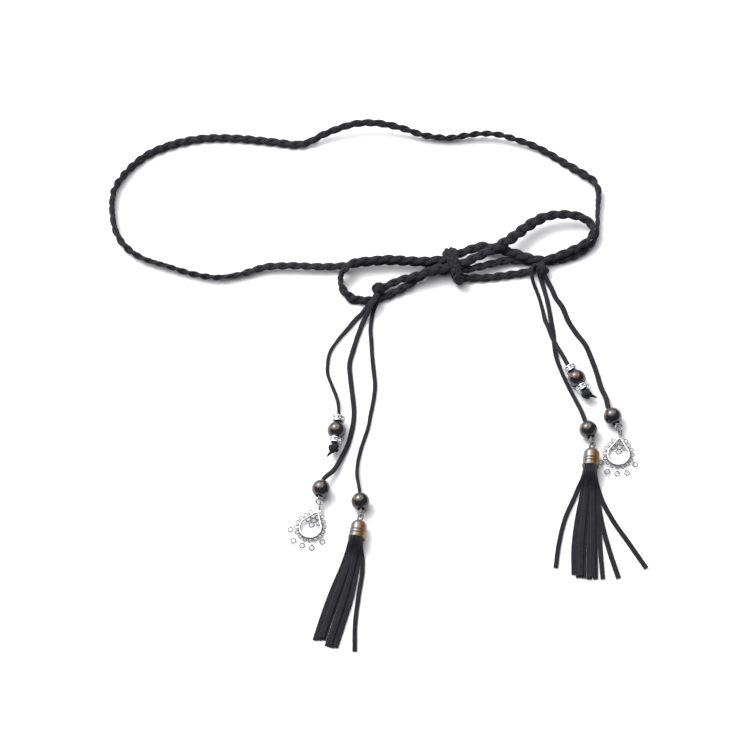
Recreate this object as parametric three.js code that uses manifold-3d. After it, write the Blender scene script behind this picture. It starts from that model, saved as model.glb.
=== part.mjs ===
// Tassel belt: a flat three-strand braid of suede lace, tied in a bow and laid on a table, with beads,
// spacers, filigree pendants and capped tassels on its six lace ends. Millimetres, Z up.
import * as THREE from "three";
import { mergeVertices } from "three/addons/utils/BufferGeometryUtils.js";
import Module from "manifold-3d";

const wasm = await Module();
wasm.setup();

// One step of the plan's grid. The routes, the places and the strips below are counted in its steps.
const GRID = 1;

// Braid and lace sizes
const BRAID_WIDTH = 5.4;
const BRAID_THICKNESS = 3.2;
const BRAID_LOBE = 0.35;
const LOBE_PITCH = 8;
const LACE_WIDTH = 3;
const LACE_THICKNESS = 1.5;
const LACE_REST = 0.1;
const LACE_STEP = 11;
const CLEARANCE = 0.3;

// Knot sizes, as half lengths across, along and up
const BOW_CORE = { across: 5.6, along: 10.8, up: 5.8 };
const BOW_WRAP = { along: 14.2, up: 6.5, width: 8.6, wall: 0.3, turn: 18 };
const BOW_KNOT_PLACE = { x: 51 * GRID, y: 85.5 * GRID };
const END_KNOT_LEFT = { x: 0.5 * GRID, y: 69.4 * GRID, across: 4.3, along: 4.4, up: 4.2, turn: 35 };
const END_KNOT_RIGHT = { x: 108.8 * GRID, y: 85.3 * GRID, across: 5.8, along: 3.6, up: 3.6, turn: -60 };
const END_WRAP = { reach: 0.8, wire: 0.34 };
const STOPPER = { across: 3.2, along: 2.9, up: 3, tip: 6.5, tipWidth: 2.6 };
const STOPPER_WRAP = { reach: 0.72, wire: 0.38, tilt: 62 };

// Bead and spacer sizes
const BEAD_RADIUS = 6;
const BEAD_BORE_RADIUS = 2.4;
const SPACER_RADIUS = 4.1;
const SPACER_LENGTH = 3.8;
const SPACER_BORE_RADIUS = 1.9;
const SPACER_FLANGE = 0.7;
const SPACER_WAIST_RADIUS = 3;
const SPACER_STONES = 5;
const STONE_RADIUS = 1;
const STONE_TABLE_RADIUS = 0.5;
const STONE_HEIGHT = 1.2;

// Ring, cap and pendant sizes
const RING_RADIUS = 2.4;
const RING_WIRE = 1;
const EYE_RADIUS = 1.35;
const EYE_WIRE = 1;
const EYE_OUT = 0.6;
const CAP_RADIUS = 5.3;
const CAP_LENGTH = 13.7;
const CAP_WALL = 0.9;
const CAP_GROOVE = 0.4;
const CAP_GROOVE_PLACES = [0.38, 0.22];
const CAP_LIP = 0.2;
const CAP_LOOP_RADIUS = 1.95;
const CAP_LOOP_WIRE = 1.1;
const CAP_LOOP_ROLL = 48;
const PENDANT_HOOP_RADIUS = 7.2;
const PENDANT_TIP_RADIUS = 1.6;
const PENDANT_HOOP_REACH = 10;
const PENDANT_WIRE = 1.3;
const PENDANT_THICKNESS = 1.3;
const PENDANT_HOOP_RISE = 0.5;
const SCALLOP_RADIUS = 1.6;
const SCALLOP_WIRE = 0.75;
const SCALLOP_PITCH = 3.7;
const SCALLOP_SPREAD = 0.85;
const DROP_RING_RADIUS = 2.05;
const DROP_RING_WIRE = 1;
const TIP_RING_RADIUS = 1.9;
const TIP_RING_WIRE = 0.9;
const CLUSTER_WIRE = 0.8;

// Tassel sizes
const STRIP_WIDTH = 3;
const STRIP_THICKNESS = 1.3;
const TASSEL_NECK = 5;
const TASSEL_SETBACK = 7;
const STRIP_START = 1.3;
const STRIP_FALL = 0.72;

// Faces round the beads, spacers, caps, knots, rings and eyelets, and along each curve
const BEAD_SIDES = 10;
const BEAD_ARCS = 5;
const SPACER_SIDES = 10;
const STONE_SIDES = 8;
const CAP_SIDES = 10;
const NECK_SIDES = 8;
const RING_SIDES = 10;
const WIRE_SIDES = 5;
const KNOT_SIDES = 8;
const KNOT_ARCS = 6;
const KNOT_WRAP_SIDES = 10;
const BOW_WRAP_SIDES = 12;
const HOOP_STEPS = 10;
const TIP_STEPS = 4;
const EYELET_SIDES = 5;
const CURL_SIDES = 5;
const FLAT_RING_SIDES = 8;
const STRIP_STEPS = 4;
const CURVE_DIVISIONS = 600;

// A table of rows under named columns becomes a list of named rows. Its lengths are in grid steps.
const LENGTHS = ["x", "y", "lift", "mouth", "quarter", "half", "most", "end", "reach"];
function table(columns, rows) {
  const measured = (column, number) => (LENGTHS.includes(column) ? number * GRID : number);
  return rows.map((row) =>
    Object.fromEntries(columns.map((column, i) => [column, measured(column, row[i])])),
  );
}

// Routes of the braid: place in plan, lift of its underside off the table, how many braids it lies
// over, and its turn about its own length, 0 lying flat and 90 standing on edge.
const BRAID_COLUMNS = ["x", "y", "lift", "over", "turn"];
const WAIST_ROUTE = table(BRAID_COLUMNS, [
  [44, 89, 3.2, 0, 0],
  [34.5, 88.5, 3, 0, 0],
  [21.5, 89, 3, 0, 0],
  [8, 89.5, 3, 0, 0],
  [-4, 89, 2.8, 0, 0],
  [-14, 88, 2.5, 0, 0],
  [-23.5, 86.5, 2.3, 0, 0],
  [-32.5, 86, 2.3, 0, 0],
  [-43.5, 86, 2.6, 0, 0],
  [-54, 86.5, 2.8, 0, 0],
  [-64, 86.5, 2.5, 0, 0],
  [-74, 86, 2, 0, 0],
  [-83.5, 83.5, 1.2, 0, 15],
  [-94.5, 80.5, 0.3, 0, 50],
  [-106, 78.5, 0.1, 0, 80],
  [-116, 79.5, 0, 0, 90],
  [-128, 82.5, 0, 0, 90],
  [-139.5, 86.5, 0.3, 0, 75],
  [-148.5, 89.5, 0.3, 0, 70],
  [-157.5, 93, 0.1, 0, 80],
  [-165.5, 98.5, 0, 0, 90],
  [-171.5, 105.5, 0, 0, 90],
  [-175.5, 114.5, 0, 0, 90],
  [-177, 123.5, 0, 0, 90],
  [-177.5, 132.5, 0, 0, 90],
  [-176, 143, 0, 0, 85],
  [-171.5, 151.5, 0, 0, 75],
  [-164.5, 160.5, 0.1, 0, 60],
  [-153.5, 170, 0.2, 0, 40],
  [-141.5, 176, 0.3, 0, 25],
  [-130, 180, 0.3, 0, 10],
  [-117.5, 182.5, 0.3, 0, 0],
  [-107.5, 183, 0.3, 0, 0],
  [-92, 182.5, 0.3, 0, 0],
  [-77.5, 181, 0.2, 0, 0],
  [-66, 179.5, 0.2, 0, 0],
  [-55.5, 178, 0.4, 0, 0],
  [-46.5, 179, 1, 0, 20],
  [-36, 184, 2.6, 0, 40],
  [-24.5, 188, 4.6, 0, 45],
  [-14, 190.5, 5.8, 0, 45],
  [-2, 191, 5.8, 0, 45],
  [9.5, 189.5, 4.4, 0, 55],
  [20, 187, 2.6, 0, 70],
  [29.5, 184, 1, 0, 80],
  [39.5, 182.5, 0.2, 0, 90],
  [48.5, 182, 0.1, 0, 90],
  [59.5, 183.5, 0.9, 0, 90],
  [70.5, 184.5, 1.8, 0, 90],
  [81.5, 183.5, 2, 0, 85],
  [92, 180.5, 1.4, 0, 75],
  [103.5, 176.5, 0.8, 0, 60],
  [114, 171, 0.3, 0, 50],
  [124.5, 164, 0.1, 0, 50],
  [136, 156, 0.1, 0, 60],
  [144, 150, 0, 0, 80],
  [147.5, 143.5, 0, 0, 90],
  [147.5, 134.5, 0, 0, 90],
  [147, 125.5, 0, 0, 90],
  [147, 117, 0, 0, 90],
  [145.5, 107, 0.1, 0, 75],
  [140.5, 101, 0.3, 0, 45],
  [132.5, 95.5, 0.5, 0, 15],
  [122.5, 92, 0.6, 0, 0],
  [113.5, 90.5, 0.6, 0, 0],
  [103.5, 90.5, 0.8, 0, 0],
  [93.5, 91, 1.4, 0, 0],
  [87.5, 91, 2, 0, 0],
  [80.5, 89, 2.8, 0, 0],
  [72.5, 86.5, 3.6, 0, 0],
  [64, 84, 4, 0, 0],
  [55.5, 82.5, 4, 0, 0],
]);
const BOW_LEFT_ROUTE = table(BRAID_COLUMNS, [
  [44, 89.5, 3.2, 1, 0],
  [34.5, 88.5, 3, 1, 0],
  [21.5, 89, 3, 1, 0],
  [8, 90, 3, 1, 0],
  [-4.5, 89, 2.8, 1, 0],
  [-14, 88, 2.6, 1, 0],
  [-19, 85.5, 2.4, 1, 20],
  [-22, 82, 2, 1, 50],
  [-24, 79, 0.8, 0.6, 75],
  [-24.5, 76, 0.3, 0, 90],
  [-24, 71.5, 0.1, 0, 85],
  [-21.5, 66.5, 0.1, 0, 60],
  [-16, 62.5, 0.2, 0, 30],
  [-9.5, 62, 0.2, 0, 10],
  [-2.5, 62.5, 0.2, 0, 0],
  [6, 65, 0.6, 0, 0],
  [14, 69, 1.4, 0, 0],
  [21.5, 73, 2.2, 0, 0],
  [28, 77.5, 2.8, 0, 0],
  [34.5, 81.5, 3.1, 0, 0],
  [44, 83, 3.2, 0, 0],
]);
const TAIL_LEFT_ROUTE = table(BRAID_COLUMNS, [
  [44, 83.5, 3.2, 1, 0],
  [36.5, 82, 3.1, 1, 0],
  [29.5, 79, 2.8, 1, 0],
  [22, 77, 2.7, 0.9, 0],
  [14.5, 76, 2.6, 0.2, 0],
  [8.5, 73.5, 2.5, 0, 0],
  [2.5, 70.5, 2.4, 0, 0],
]);
const BOW_RIGHT_ROUTE = table(BRAID_COLUMNS, [
  [54, 85.5, 4, 1, 0],
  [60, 88, 4.2, 1, 0],
  [68, 92, 4.4, 1, 0],
  [77.5, 97, 4.6, 1, 0],
  [88, 104, 5.6, 0.7, 0],
  [101.5, 115.5, 7, 0, 0],
  [111.5, 121, 7.4, 0, 0],
  [122, 123, 7.2, 0, 0],
  [132, 122.5, 6.4, 0, 0],
  [139.5, 119.5, 5, 0, 25],
  [143, 114.5, 3.6, 0, 60],
  [142.5, 108.5, 2.4, 0.5, 50],
  [137.5, 102.5, 1.2, 1, 15],
  [129.5, 98, 0.8, 1, 0],
  [120.5, 94, 0.6, 1, 0],
  [112, 91, 0.6, 1, 0],
  [102.5, 91.5, 0.9, 1, 0],
  [94, 94.5, 1.5, 0.8, 0],
  [85.5, 97.5, 2.6, 0.3, 0],
  [77.5, 99.5, 3, 0, 0],
  [70.5, 101, 3.4, 0, 0],
  [64.5, 99.5, 3.9, 0, 0],
  [58.5, 97, 4.3, 0, 0],
  [52.5, 94, 4.5, 0, 0],
]);
const TAIL_RIGHT_ROUTE = table(BRAID_COLUMNS, [
  [55.5, 79, 0.8, 0, 0],
  [64, 79, 0.5, 0, 0],
  [74, 79.5, 0.3, 0, 0],
  [84.5, 81, 0.3, 0, 0],
  [93.5, 82.3, 0.5, 0, 0],
  [99.5, 83.3, 0.9, 0, 0],
  [104.2, 84.8, 1.4, 0, 0],
]);

// Routes of the six free laces, from inside an end knot to just short of the bead: place in plan and
// lift of the underside.
const LACE_COLUMNS = ["x", "y", "lift"];
const LACE_ROUTES = {
  left_1: table(LACE_COLUMNS, [
    [-1.5, 64.5, 4.8],
    [-3, 61, 4.9],
    [-5.5, 58, 4.3],
    [-8, 55.5, 2.6],
    [-10.5, 53, 0.8],
    [-14.3, 49.3, 0],
    [-20.2, 41.7, 0],
    [-26.9, 33.1, 0],
    [-32, 24.4, 0],
    [-33.6, 15.5, 0],
    [-33.5, 8, 0],
    [-30.6, -1, 0.5],
    [-28, -9, 2],
    [-26.5, -16, 4],
  ]),
  left_2: table(LACE_COLUMNS, [
    [-0.5, 64.5, 6.9],
    [-2, 60, 6.9],
    [-4, 57, 6.4],
    [-6, 53.5, 4.4],
    [-8, 50, 2],
    [-10, 46.5, 0.4],
    [-13.5, 36.5, 0],
    [-16.5, 26, 0],
    [-19, 15.5, 0],
    [-18.5, 6, 0],
    [-17, -8, 0],
    [-16, -19.5, 0],
    [-16.5, -28, 0],
    [-18, -36.5, 0],
    [-20.5, -45.5, 0.2],
    [-24.5, -54.5, 1],
    [-29.5, -64.5, 2.8],
  ]),
  left_3: table(LACE_COLUMNS, [
    [1.5, 63.5, 4.4],
    [0, 61, 4.4],
    [-1.5, 57.5, 3.4],
    [-3, 54.5, 1.4],
    [-4, 50.5, 0.2],
    [-5, 41.5, 0],
    [-4.5, 32.5, 0],
    [-4, 22.5, 0],
    [-3, 11, 0],
    [-2, 0, 0],
    [-3, -11, 0],
    [-5, -22, 0],
    [-6.5, -31, 0],
    [-9, -39.5, 0],
    [-11.5, -48, 0],
    [-13.5, -58, 0.4],
    [-14, -67.5, 1.8],
    [-13, -75, 3.4],
  ]),
  right_1: table(LACE_COLUMNS, [
    [104.6, 86.8, 5.4],
    [102.9, 84, 5.6],
    [102.7, 80.4, 4.6],
    [103.2, 77, 2.4],
    [104.8, 72.4, 0.4],
    [107, 66.5, 0],
    [109.5, 57, 0],
    [111.5, 47.5, 0.9],
    [113.4, 42.5, 2],
    [116, 34.5, 2.2],
    [119, 28, 2.6],
    [122, 22, 3.8],
  ]),
  right_2: table(LACE_COLUMNS, [
    [107.6, 85.6, 2.2],
    [108, 81, 1],
    [110, 74, 0],
    [112.6, 64, 0],
    [114.5, 54, 0],
    [115.7, 46, 0],
    [117, 38, 0],
    [117.5, 29.5, 0],
    [119, 20, 0],
    [122.4, 9.7, 0],
    [126.6, -0.6, 0],
    [131.8, -12, 0.8],
    [135.8, -21.7, 2.9],
  ]),
  right_3: table(LACE_COLUMNS, [
    [109.4, 85.8, 4.4],
    [110.6, 81.2, 3.2],
    [113.4, 76, 1],
    [115.8, 71.6, 0.1],
    [118.6, 64.7, 0],
    [123, 57.8, 0],
    [126.8, 47.7, 0],
    [132.3, 38.2, 0],
    [138.1, 30, 0],
    [142.1, 20, 0],
    [146, 8, 0],
    [148.5, -2, 0.8],
    [152, -11.5, 3],
  ]),
};

// What each lace ends in, where its bead stands and the way it faces, in degrees from +X. The rings
// on the lace's eye follow, each with its heading, dip and roll.
const RING_COLUMNS = ["heading", "dip", "roll"];
const LACE_ENDS = [
  { name: "left_1", end: "stopper", x: -27.6, y: -36.1, heading: -98, tipTurn: -30 },
  {
    name: "left_2",
    end: "pendant",
    x: -37.9,
    y: -79.2,
    heading: -103,
    rings: table(RING_COLUMNS, [
      [-74, 24, 0],
      [-98, 24, 84],
    ]),
    endHeading: -113,
    drop: "pendant_left",
  },
  {
    name: "left_3",
    end: "tassel",
    x: -11.7,
    y: -88.6,
    heading: -86,
    rings: table(RING_COLUMNS, [[-92, 9, -42]]),
    endHeading: -100,
    drop: "tassel_left",
  },
  { name: "right_1", end: "stopper", x: 132.4, y: 2.3, heading: -60, tipTurn: 42 },
  {
    name: "right_2",
    end: "tassel",
    x: 140,
    y: -35.6,
    heading: -72,
    rings: table(RING_COLUMNS, [[-76, 9, -42]]),
    endHeading: -95,
    drop: "tassel_right",
  },
  {
    name: "right_3",
    end: "pendant",
    x: 156.3,
    y: -25.8,
    heading: -66,
    rings: table(RING_COLUMNS, [
      [-46, 24, 0],
      [-90, 48, 66],
    ]),
    endHeading: -94,
    drop: "pendant_right",
  },
].map((end) => ({ ...end, x: end.x * GRID, y: end.y * GRID }));

// Strips of each tassel: how far to the side each lies at the mouth, at a quarter, at half and at
// three quarters of its reach and at its end, its reach, and the layer it lies in.
const STRIP_COLUMNS = ["mouth", "quarter", "half", "most", "end", "reach", "layer"];
const TASSEL_STRIPS = {
  tassel_left: table(STRIP_COLUMNS, [
    [3.6, 6, 9.7, 12.5, 14.6, 76, 0],
    [2.4, 4.2, 7, 9.6, 12, 75.5, 0],
    [1, 2.2, 4.2, 6.6, 9, 75, 0],
    [-0.6, 0.2, 1.4, 3.4, 6, 79, 0],
    [-2, -1.8, -1.4, 0.4, 3, 79.5, 0],
    [-3, -3.9, -4, -2.2, 0, 79, 0],
    [-3.6, -7.6, -8.4, -9.7, -12.9, 79.5, 0],
    [1.6, 3, 5.6, 8.2, 10.6, 74, 1],
    [-1, -0.6, 0.4, 2.4, 4.6, 78, 1],
  ]),
  tassel_right: table(STRIP_COLUMNS, [
    [3.6, 8, 13.6, 16.2, 16.9, 74, 0],
    [2.6, 4, 5.7, 6.1, 4.4, 78, 0],
    [1.3, 1.8, 2.4, 2.6, 1.4, 80, 0],
    [0, -0.3, -0.6, -1, -2.4, 80, 0],
    [-1.3, -2.3, -3.5, -4.5, -6, 80.5, 0],
    [-2.4, -4.2, -6.6, -8.3, -10.3, 80, 0],
    [-3, -5.4, -8.8, -11.8, -15, 79.5, 0],
    [-3.6, -6.4, -11, -17.6, -25.3, 78, 0],
    [-3.6, -7.6, -17, -30, -43, 69, 0],
    [0.8, 1.2, 1.6, 1.2, 0, 79, 1],
    [-1.6, -3, -5, -6.6, -8, 79, 1],
  ]),
};

// Finishes
const suede = { color: 0x2b292e, roughness: 0.92, metalness: 0 };
const horn = { color: 0x2a2320, roughness: 0.18, metalness: 0 };
const silver = { color: 0xd4d5d8, roughness: 0.2, metalness: 1 };
const bronze = { color: 0x8a6a50, roughness: 0.28, metalness: 1 };

const belt = new THREE.Group();
const contents = new THREE.Group();
belt.add(contents);

function addPiece(parent, name, geometry, finish) {
  const mesh = new THREE.Mesh(geometry, new THREE.MeshStandardMaterial(finish));
  mesh.name = name;
  parent.add(mesh);
  return mesh;
}

// Solids are joined and cut on merged positions alone.
const MERGE_DISTANCE = 1e-3;
function toSolid(geometry) {
  const plain = new THREE.BufferGeometry();
  const source = geometry.index ? geometry.toNonIndexed() : geometry;
  plain.setAttribute("position", source.getAttribute("position").clone());
  const merged = mergeVertices(plain, MERGE_DISTANCE);
  return new wasm.Manifold(
    new wasm.Mesh({
      numProp: 3,
      vertProperties: new Float32Array(merged.attributes.position.array),
      triVerts: new Uint32Array(merged.index.array),
    }),
  );
}

function toGeometry(solid) {
  const mesh = solid.getMesh();
  const geometry = new THREE.BufferGeometry();
  geometry.setAttribute("position", new THREE.BufferAttribute(mesh.vertProperties, 3));
  geometry.setIndex(new THREE.BufferAttribute(mesh.triVerts, 1));
  return geometry;
}

function fuse(geometries) {
  const solids = geometries.map(toSolid);
  return toGeometry(solids.reduce((whole, solid) => whole.add(solid)));
}

function carve(geometry, cutters) {
  return toGeometry(cutters.map(toSolid).reduce((left, cutter) => left.subtract(cutter), toSolid(geometry)));
}

const radians = THREE.MathUtils.degToRad;

// Half of the height that a turned braid section takes up.
function halfHeight(turn) {
  const sine = Math.abs(Math.sin(radians(turn)));
  const cosine = Math.abs(Math.cos(radians(turn)));
  const edge = (BRAID_WIDTH / 2 + BRAID_LOBE) * sine;
  const shoulder = (BRAID_WIDTH / 4) * sine + (BRAID_THICKNESS / 2) * cosine;
  return Math.max(edge, shoulder);
}

// A straight extrusion of a closed section is bent along a curve. The section's X goes to the side and
// its Y up, turned by turnAt, and its side corners move in and out by sideAt.
function bentStrip({ section, curve, steps, turnAt = () => 0, sideAt = () => 0 }) {
  const geometry = new THREE.ExtrudeGeometry(section, { depth: steps, steps, bevelEnabled: false });
  const positions = geometry.getAttribute("position");
  const stations = [];
  for (let i = 0; i <= steps; i += 1) {
    const share = i / steps;
    const forward = curve.getTangentAt(share);
    const side = new THREE.Vector3(0, 0, 1).cross(forward).normalize();
    const up = forward.clone().cross(side);
    const turn = radians(turnAt(share));
    stations.push({
      centre: curve.getPointAt(share),
      side: side.clone().multiplyScalar(Math.cos(turn)).addScaledVector(up, Math.sin(turn)),
      up: up.clone().multiplyScalar(Math.cos(turn)).addScaledVector(side, -Math.sin(turn)),
    });
  }
  for (let v = 0; v < positions.count; v += 1) {
    const index = Math.round(positions.getZ(v));
    const station = stations[index];
    const across = positions.getX(v);
    const moved = across + sideAt(index, across);
    const point = station.centre.clone();
    point.addScaledVector(station.side, moved).addScaledVector(station.up, positions.getY(v));
    positions.setXYZ(v, point.x, point.y, point.z);
  }
  return geometry;
}

function polygon(points) {
  return new THREE.Shape(points.map(([x, y]) => new THREE.Vector2(x, y)));
}

// Flat oval section of the braid, wide in X.
function braidSection(grow) {
  const wide = BRAID_WIDTH / 2 + grow;
  const high = BRAID_THICKNESS / 2 + grow;
  return polygon([
    [wide, 0],
    [wide / 2, high],
    [-wide / 2, high],
    [-wide, 0],
    [-wide / 2, -high],
    [wide / 2, -high],
  ]);
}

function rectangle(width, height) {
  return polygon([
    [width / 2, height / 2],
    [-width / 2, height / 2],
    [-width / 2, -height / 2],
    [width / 2, -height / 2],
  ]);
}

function smoothCurve(points) {
  const curve = new THREE.CatmullRomCurve3(points, false, "centripetal");
  curve.arcLengthDivisions = CURVE_DIVISIONS;
  return curve;
}

function braidCurve(route) {
  return smoothCurve(
    route.map(({ x, y, lift, over, turn }) => {
      const stack = over * (BRAID_THICKNESS + CLEARANCE);
      return new THREE.Vector3(x, y, lift + stack + halfHeight(turn));
    }),
  );
}

// A stretch of braid, its edges swelling where each lace comes round, one edge half a pitch behind.
function braidStretch(route, grow = 0) {
  const curve = braidCurve(route);
  const steps = Math.max(2, Math.round(curve.getLength() / (LOBE_PITCH / 2)));
  const turnAt = (share) => {
    const place = curve.getUtoTmapping(share) * (route.length - 1);
    const row = Math.min(Math.floor(place), route.length - 2);
    return THREE.MathUtils.lerp(route[row].turn, route[row + 1].turn, place - row);
  };
  const sideAt = (index, across) => {
    const onEdge = Math.abs(across) > BRAID_WIDTH / 2 - MERGE_DISTANCE;
    const out = (index % 2 === 0) === across > 0 ? BRAID_LOBE : -BRAID_LOBE;
    return onEdge ? Math.sign(across) * out : 0;
  };
  return bentStrip({ section: braidSection(grow), curve, steps, turnAt, sideAt });
}

const forwardOf = (heading, dip = 0) =>
  new THREE.Vector3(
    Math.cos(radians(dip)) * Math.cos(radians(heading)),
    Math.cos(radians(dip)) * Math.sin(radians(heading)),
    -Math.sin(radians(dip)),
  );

// The distances of what is threaded on a lace, from the middle of its bead.
const SPACER_PLACE = BEAD_RADIUS + CLEARANCE / 2 + SPACER_LENGTH / 2;
const SPACER_FAR_FACE = SPACER_PLACE + SPACER_LENGTH / 2;
const STOPPER_PLACE = SPACER_FAR_FACE + CLEARANCE + STOPPER.along;
const EYE_PLACE = BEAD_RADIUS + EYE_OUT;
const THREAD_LEAD = 1;

// A lace follows its route, then runs straight through its bead at the height of the bead's middle.
function laceCurve(end) {
  const centre = new THREE.Vector3(end.x, end.y, BEAD_RADIUS);
  const forward = forwardOf(end.heading);
  const stopped = end.end === "stopper";
  const back = (stopped ? SPACER_FAR_FACE : BEAD_RADIUS) + THREAD_LEAD;
  const ahead = stopped ? SPACER_FAR_FACE : EYE_PLACE - EYE_RADIUS;
  const points = LACE_ROUTES[end.name].map(
    ({ x, y, lift }) => new THREE.Vector3(x, y, LACE_REST + lift + LACE_THICKNESS / 2),
  );
  points.push(centre.clone().addScaledVector(forward, -back));
  points.push(centre.clone());
  points.push(centre.clone().addScaledVector(forward, ahead));
  return smoothCurve(points);
}

function laceStrip(end, grow = 0) {
  const curve = laceCurve(end);
  const steps = Math.round(curve.getLength() / LACE_STEP) + 2;
  const section = rectangle(LACE_WIDTH + 2 * grow, LACE_THICKNESS + 2 * grow);
  return bentStrip({ section, curve, steps });
}

// Beads and rings of round section are turned about the local Y, the way the lace runs.
function beadGeometry() {
  const rim = Math.asin(BEAD_BORE_RADIUS / BEAD_RADIUS);
  const profile = [];
  for (let i = 0; i <= BEAD_ARCS; i += 1) {
    const angle = THREE.MathUtils.lerp(Math.PI - rim, rim, i / BEAD_ARCS);
    profile.push(new THREE.Vector2(BEAD_RADIUS * Math.sin(angle), BEAD_RADIUS * Math.cos(angle)));
  }
  profile.push(profile[0].clone());
  return new THREE.LatheGeometry(profile, BEAD_SIDES);
}

// A spacer: two flanges on a waist, with cut stones set round it.
function spacerGeometry() {
  const half = SPACER_LENGTH / 2;
  const inside = half - SPACER_FLANGE;
  const outline = [
    [SPACER_BORE_RADIUS, -half],
    [SPACER_RADIUS, -half],
    [SPACER_RADIUS, -inside],
    [SPACER_WAIST_RADIUS, -inside],
    [SPACER_WAIST_RADIUS, inside],
    [SPACER_RADIUS, inside],
    [SPACER_RADIUS, half],
    [SPACER_BORE_RADIUS, half],
    [SPACER_BORE_RADIUS, -half],
  ];
  const body = new THREE.LatheGeometry(
    outline.map(([radius, y]) => new THREE.Vector2(radius, y)),
    SPACER_SIDES,
  );
  const pieces = [body];
  for (let i = 0; i < SPACER_STONES; i += 1) {
    const stone = new THREE.CylinderGeometry(STONE_TABLE_RADIUS, STONE_RADIUS, STONE_HEIGHT, STONE_SIDES);
    stone.rotateZ(-Math.PI / 2);
    stone.translate(SPACER_WAIST_RADIUS - CLEARANCE + STONE_HEIGHT / 2, 0, 0);
    stone.rotateY(((i + 0.5) / SPACER_STONES) * 2 * Math.PI);
    pieces.push(stone);
  }
  return fuse(pieces);
}

// The lace's end is knotted behind the last spacer, with its cut tip standing out to one side.
function stopperGeometry(tipTurn) {
  const lump = new THREE.SphereGeometry(1, KNOT_SIDES, KNOT_ARCS);
  lump.scale(STOPPER.across, STOPPER.along, STOPPER.up);
  const reach = STOPPER.across * STOPPER_WRAP.reach;
  const wrap = new THREE.TorusGeometry(reach, STOPPER.up * STOPPER_WRAP.wire, WIRE_SIDES, KNOT_SIDES);
  wrap.rotateX(radians(STOPPER_WRAP.tilt));
  const tip = new THREE.BoxGeometry(STOPPER.tipWidth, STOPPER.tip, LACE_THICKNESS);
  tip.translate(0, STOPPER.tip / 2 + STOPPER.along / 3, 0);
  tip.rotateZ(radians(tipTurn));
  tip.translate(0, 0, -STOPPER.up / 2);
  return fuse([lump, wrap, tip]);
}

// A ring starts at the local origin, where its wire passes the piece before, and runs on along Y.
function ringGeometry() {
  const ring = new THREE.TorusGeometry(RING_RADIUS, RING_WIRE / 2, WIRE_SIDES, RING_SIDES);
  ring.translate(0, RING_RADIUS, 0);
  return ring;
}

function turnedGroup(point, { heading, dip = 0, roll = 0 }) {
  const group = new THREE.Group();
  group.position.copy(point);
  group.rotation.set(radians(-dip), radians(roll), radians(heading - 90), "ZXY");
  contents.add(group);
  return group;
}

// A cap is a turned cup, its mouth at the local origin facing +Y, with a loop fused to its dome.
const CAP_INNER_RADIUS = CAP_RADIUS - CAP_WALL;
const CAP_DOME_REACH = CAP_LENGTH / 3;
function capGeometry() {
  const shoulder = CAP_DOME_REACH - CAP_LENGTH;
  const outline = [[0, -CAP_LENGTH]];
  for (const angle of [30, 60, 90]) {
    const rise = CAP_DOME_REACH * Math.cos(radians(angle));
    outline.push([CAP_RADIUS * Math.sin(radians(angle)), shoulder - rise]);
  }
  for (const share of CAP_GROOVE_PLACES) {
    const groove = CAP_LENGTH * share;
    outline.push([CAP_RADIUS, -groove - CAP_GROOVE]);
    outline.push([CAP_RADIUS - CAP_GROOVE, -groove]);
    outline.push([CAP_RADIUS, CAP_GROOVE - groove]);
  }
  outline.push([CAP_RADIUS + CAP_LIP, -CAP_WALL]);
  outline.push([CAP_RADIUS + CAP_LIP, 0]);
  outline.push([CAP_INNER_RADIUS, 0]);
  outline.push([CAP_INNER_RADIUS, shoulder]);
  outline.push([CAP_INNER_RADIUS / 2, shoulder - CAP_DOME_REACH / 2]);
  outline.push([0, shoulder - CAP_DOME_REACH / 2 - CAP_WALL / 2]);
  const cup = new THREE.LatheGeometry(
    outline.map(([radius, y]) => new THREE.Vector2(radius, y)),
    CAP_SIDES,
  );
  const loop = new THREE.TorusGeometry(CAP_LOOP_RADIUS, CAP_LOOP_WIRE / 2, WIRE_SIDES, RING_SIDES);
  loop.rotateY(radians(CAP_LOOP_ROLL));
  loop.translate(0, -CAP_LENGTH - CAP_LOOP_RADIUS, 0);
  return fuse([cup, loop]);
}
const CAP_REACH = CAP_LENGTH + 2 * CAP_LOOP_RADIUS;
const CAP_HEIGHT = CAP_RADIUS + CAP_LIP;

// A tassel hangs out of its cap's mouth: a round neck in the cap, and strips that fall to the table
// within a quarter of their reach. The local origin is the mouth's middle, at CAP_HEIGHT.
const STRIP_STATIONS = [0, 0.25, 0.5, 0.75, 1];
function tasselGeometry(rows) {
  const neckRadius = CAP_INNER_RADIUS - CLEARANCE;
  const neckLength = TASSEL_SETBACK + TASSEL_NECK;
  const neck = new THREE.CylinderGeometry(neckRadius, neckRadius, neckLength, NECK_SIDES);
  neck.translate(0, (TASSEL_NECK - TASSEL_SETBACK) / 2, 0);
  const section = rectangle(STRIP_WIDTH, STRIP_THICKNESS);
  const strips = rows.map((row) => {
    const sides = [row.mouth, row.quarter, row.half, row.most, row.end];
    const rest = (row.layer + 0.5) * STRIP_THICKNESS - CAP_HEIGHT;
    const drops = [row.layer * STRIP_THICKNESS, rest * STRIP_FALL, rest, rest, rest];
    const points = STRIP_STATIONS.map((share, i) => {
      const along = Math.max(share * row.reach, STRIP_START);
      return new THREE.Vector3(sides[i], along, drops[i]);
    });
    return bentStrip({ section, curve: smoothCurve(points), steps: STRIP_STEPS });
  });
  return fuse([neck, ...strips]);
}

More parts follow.
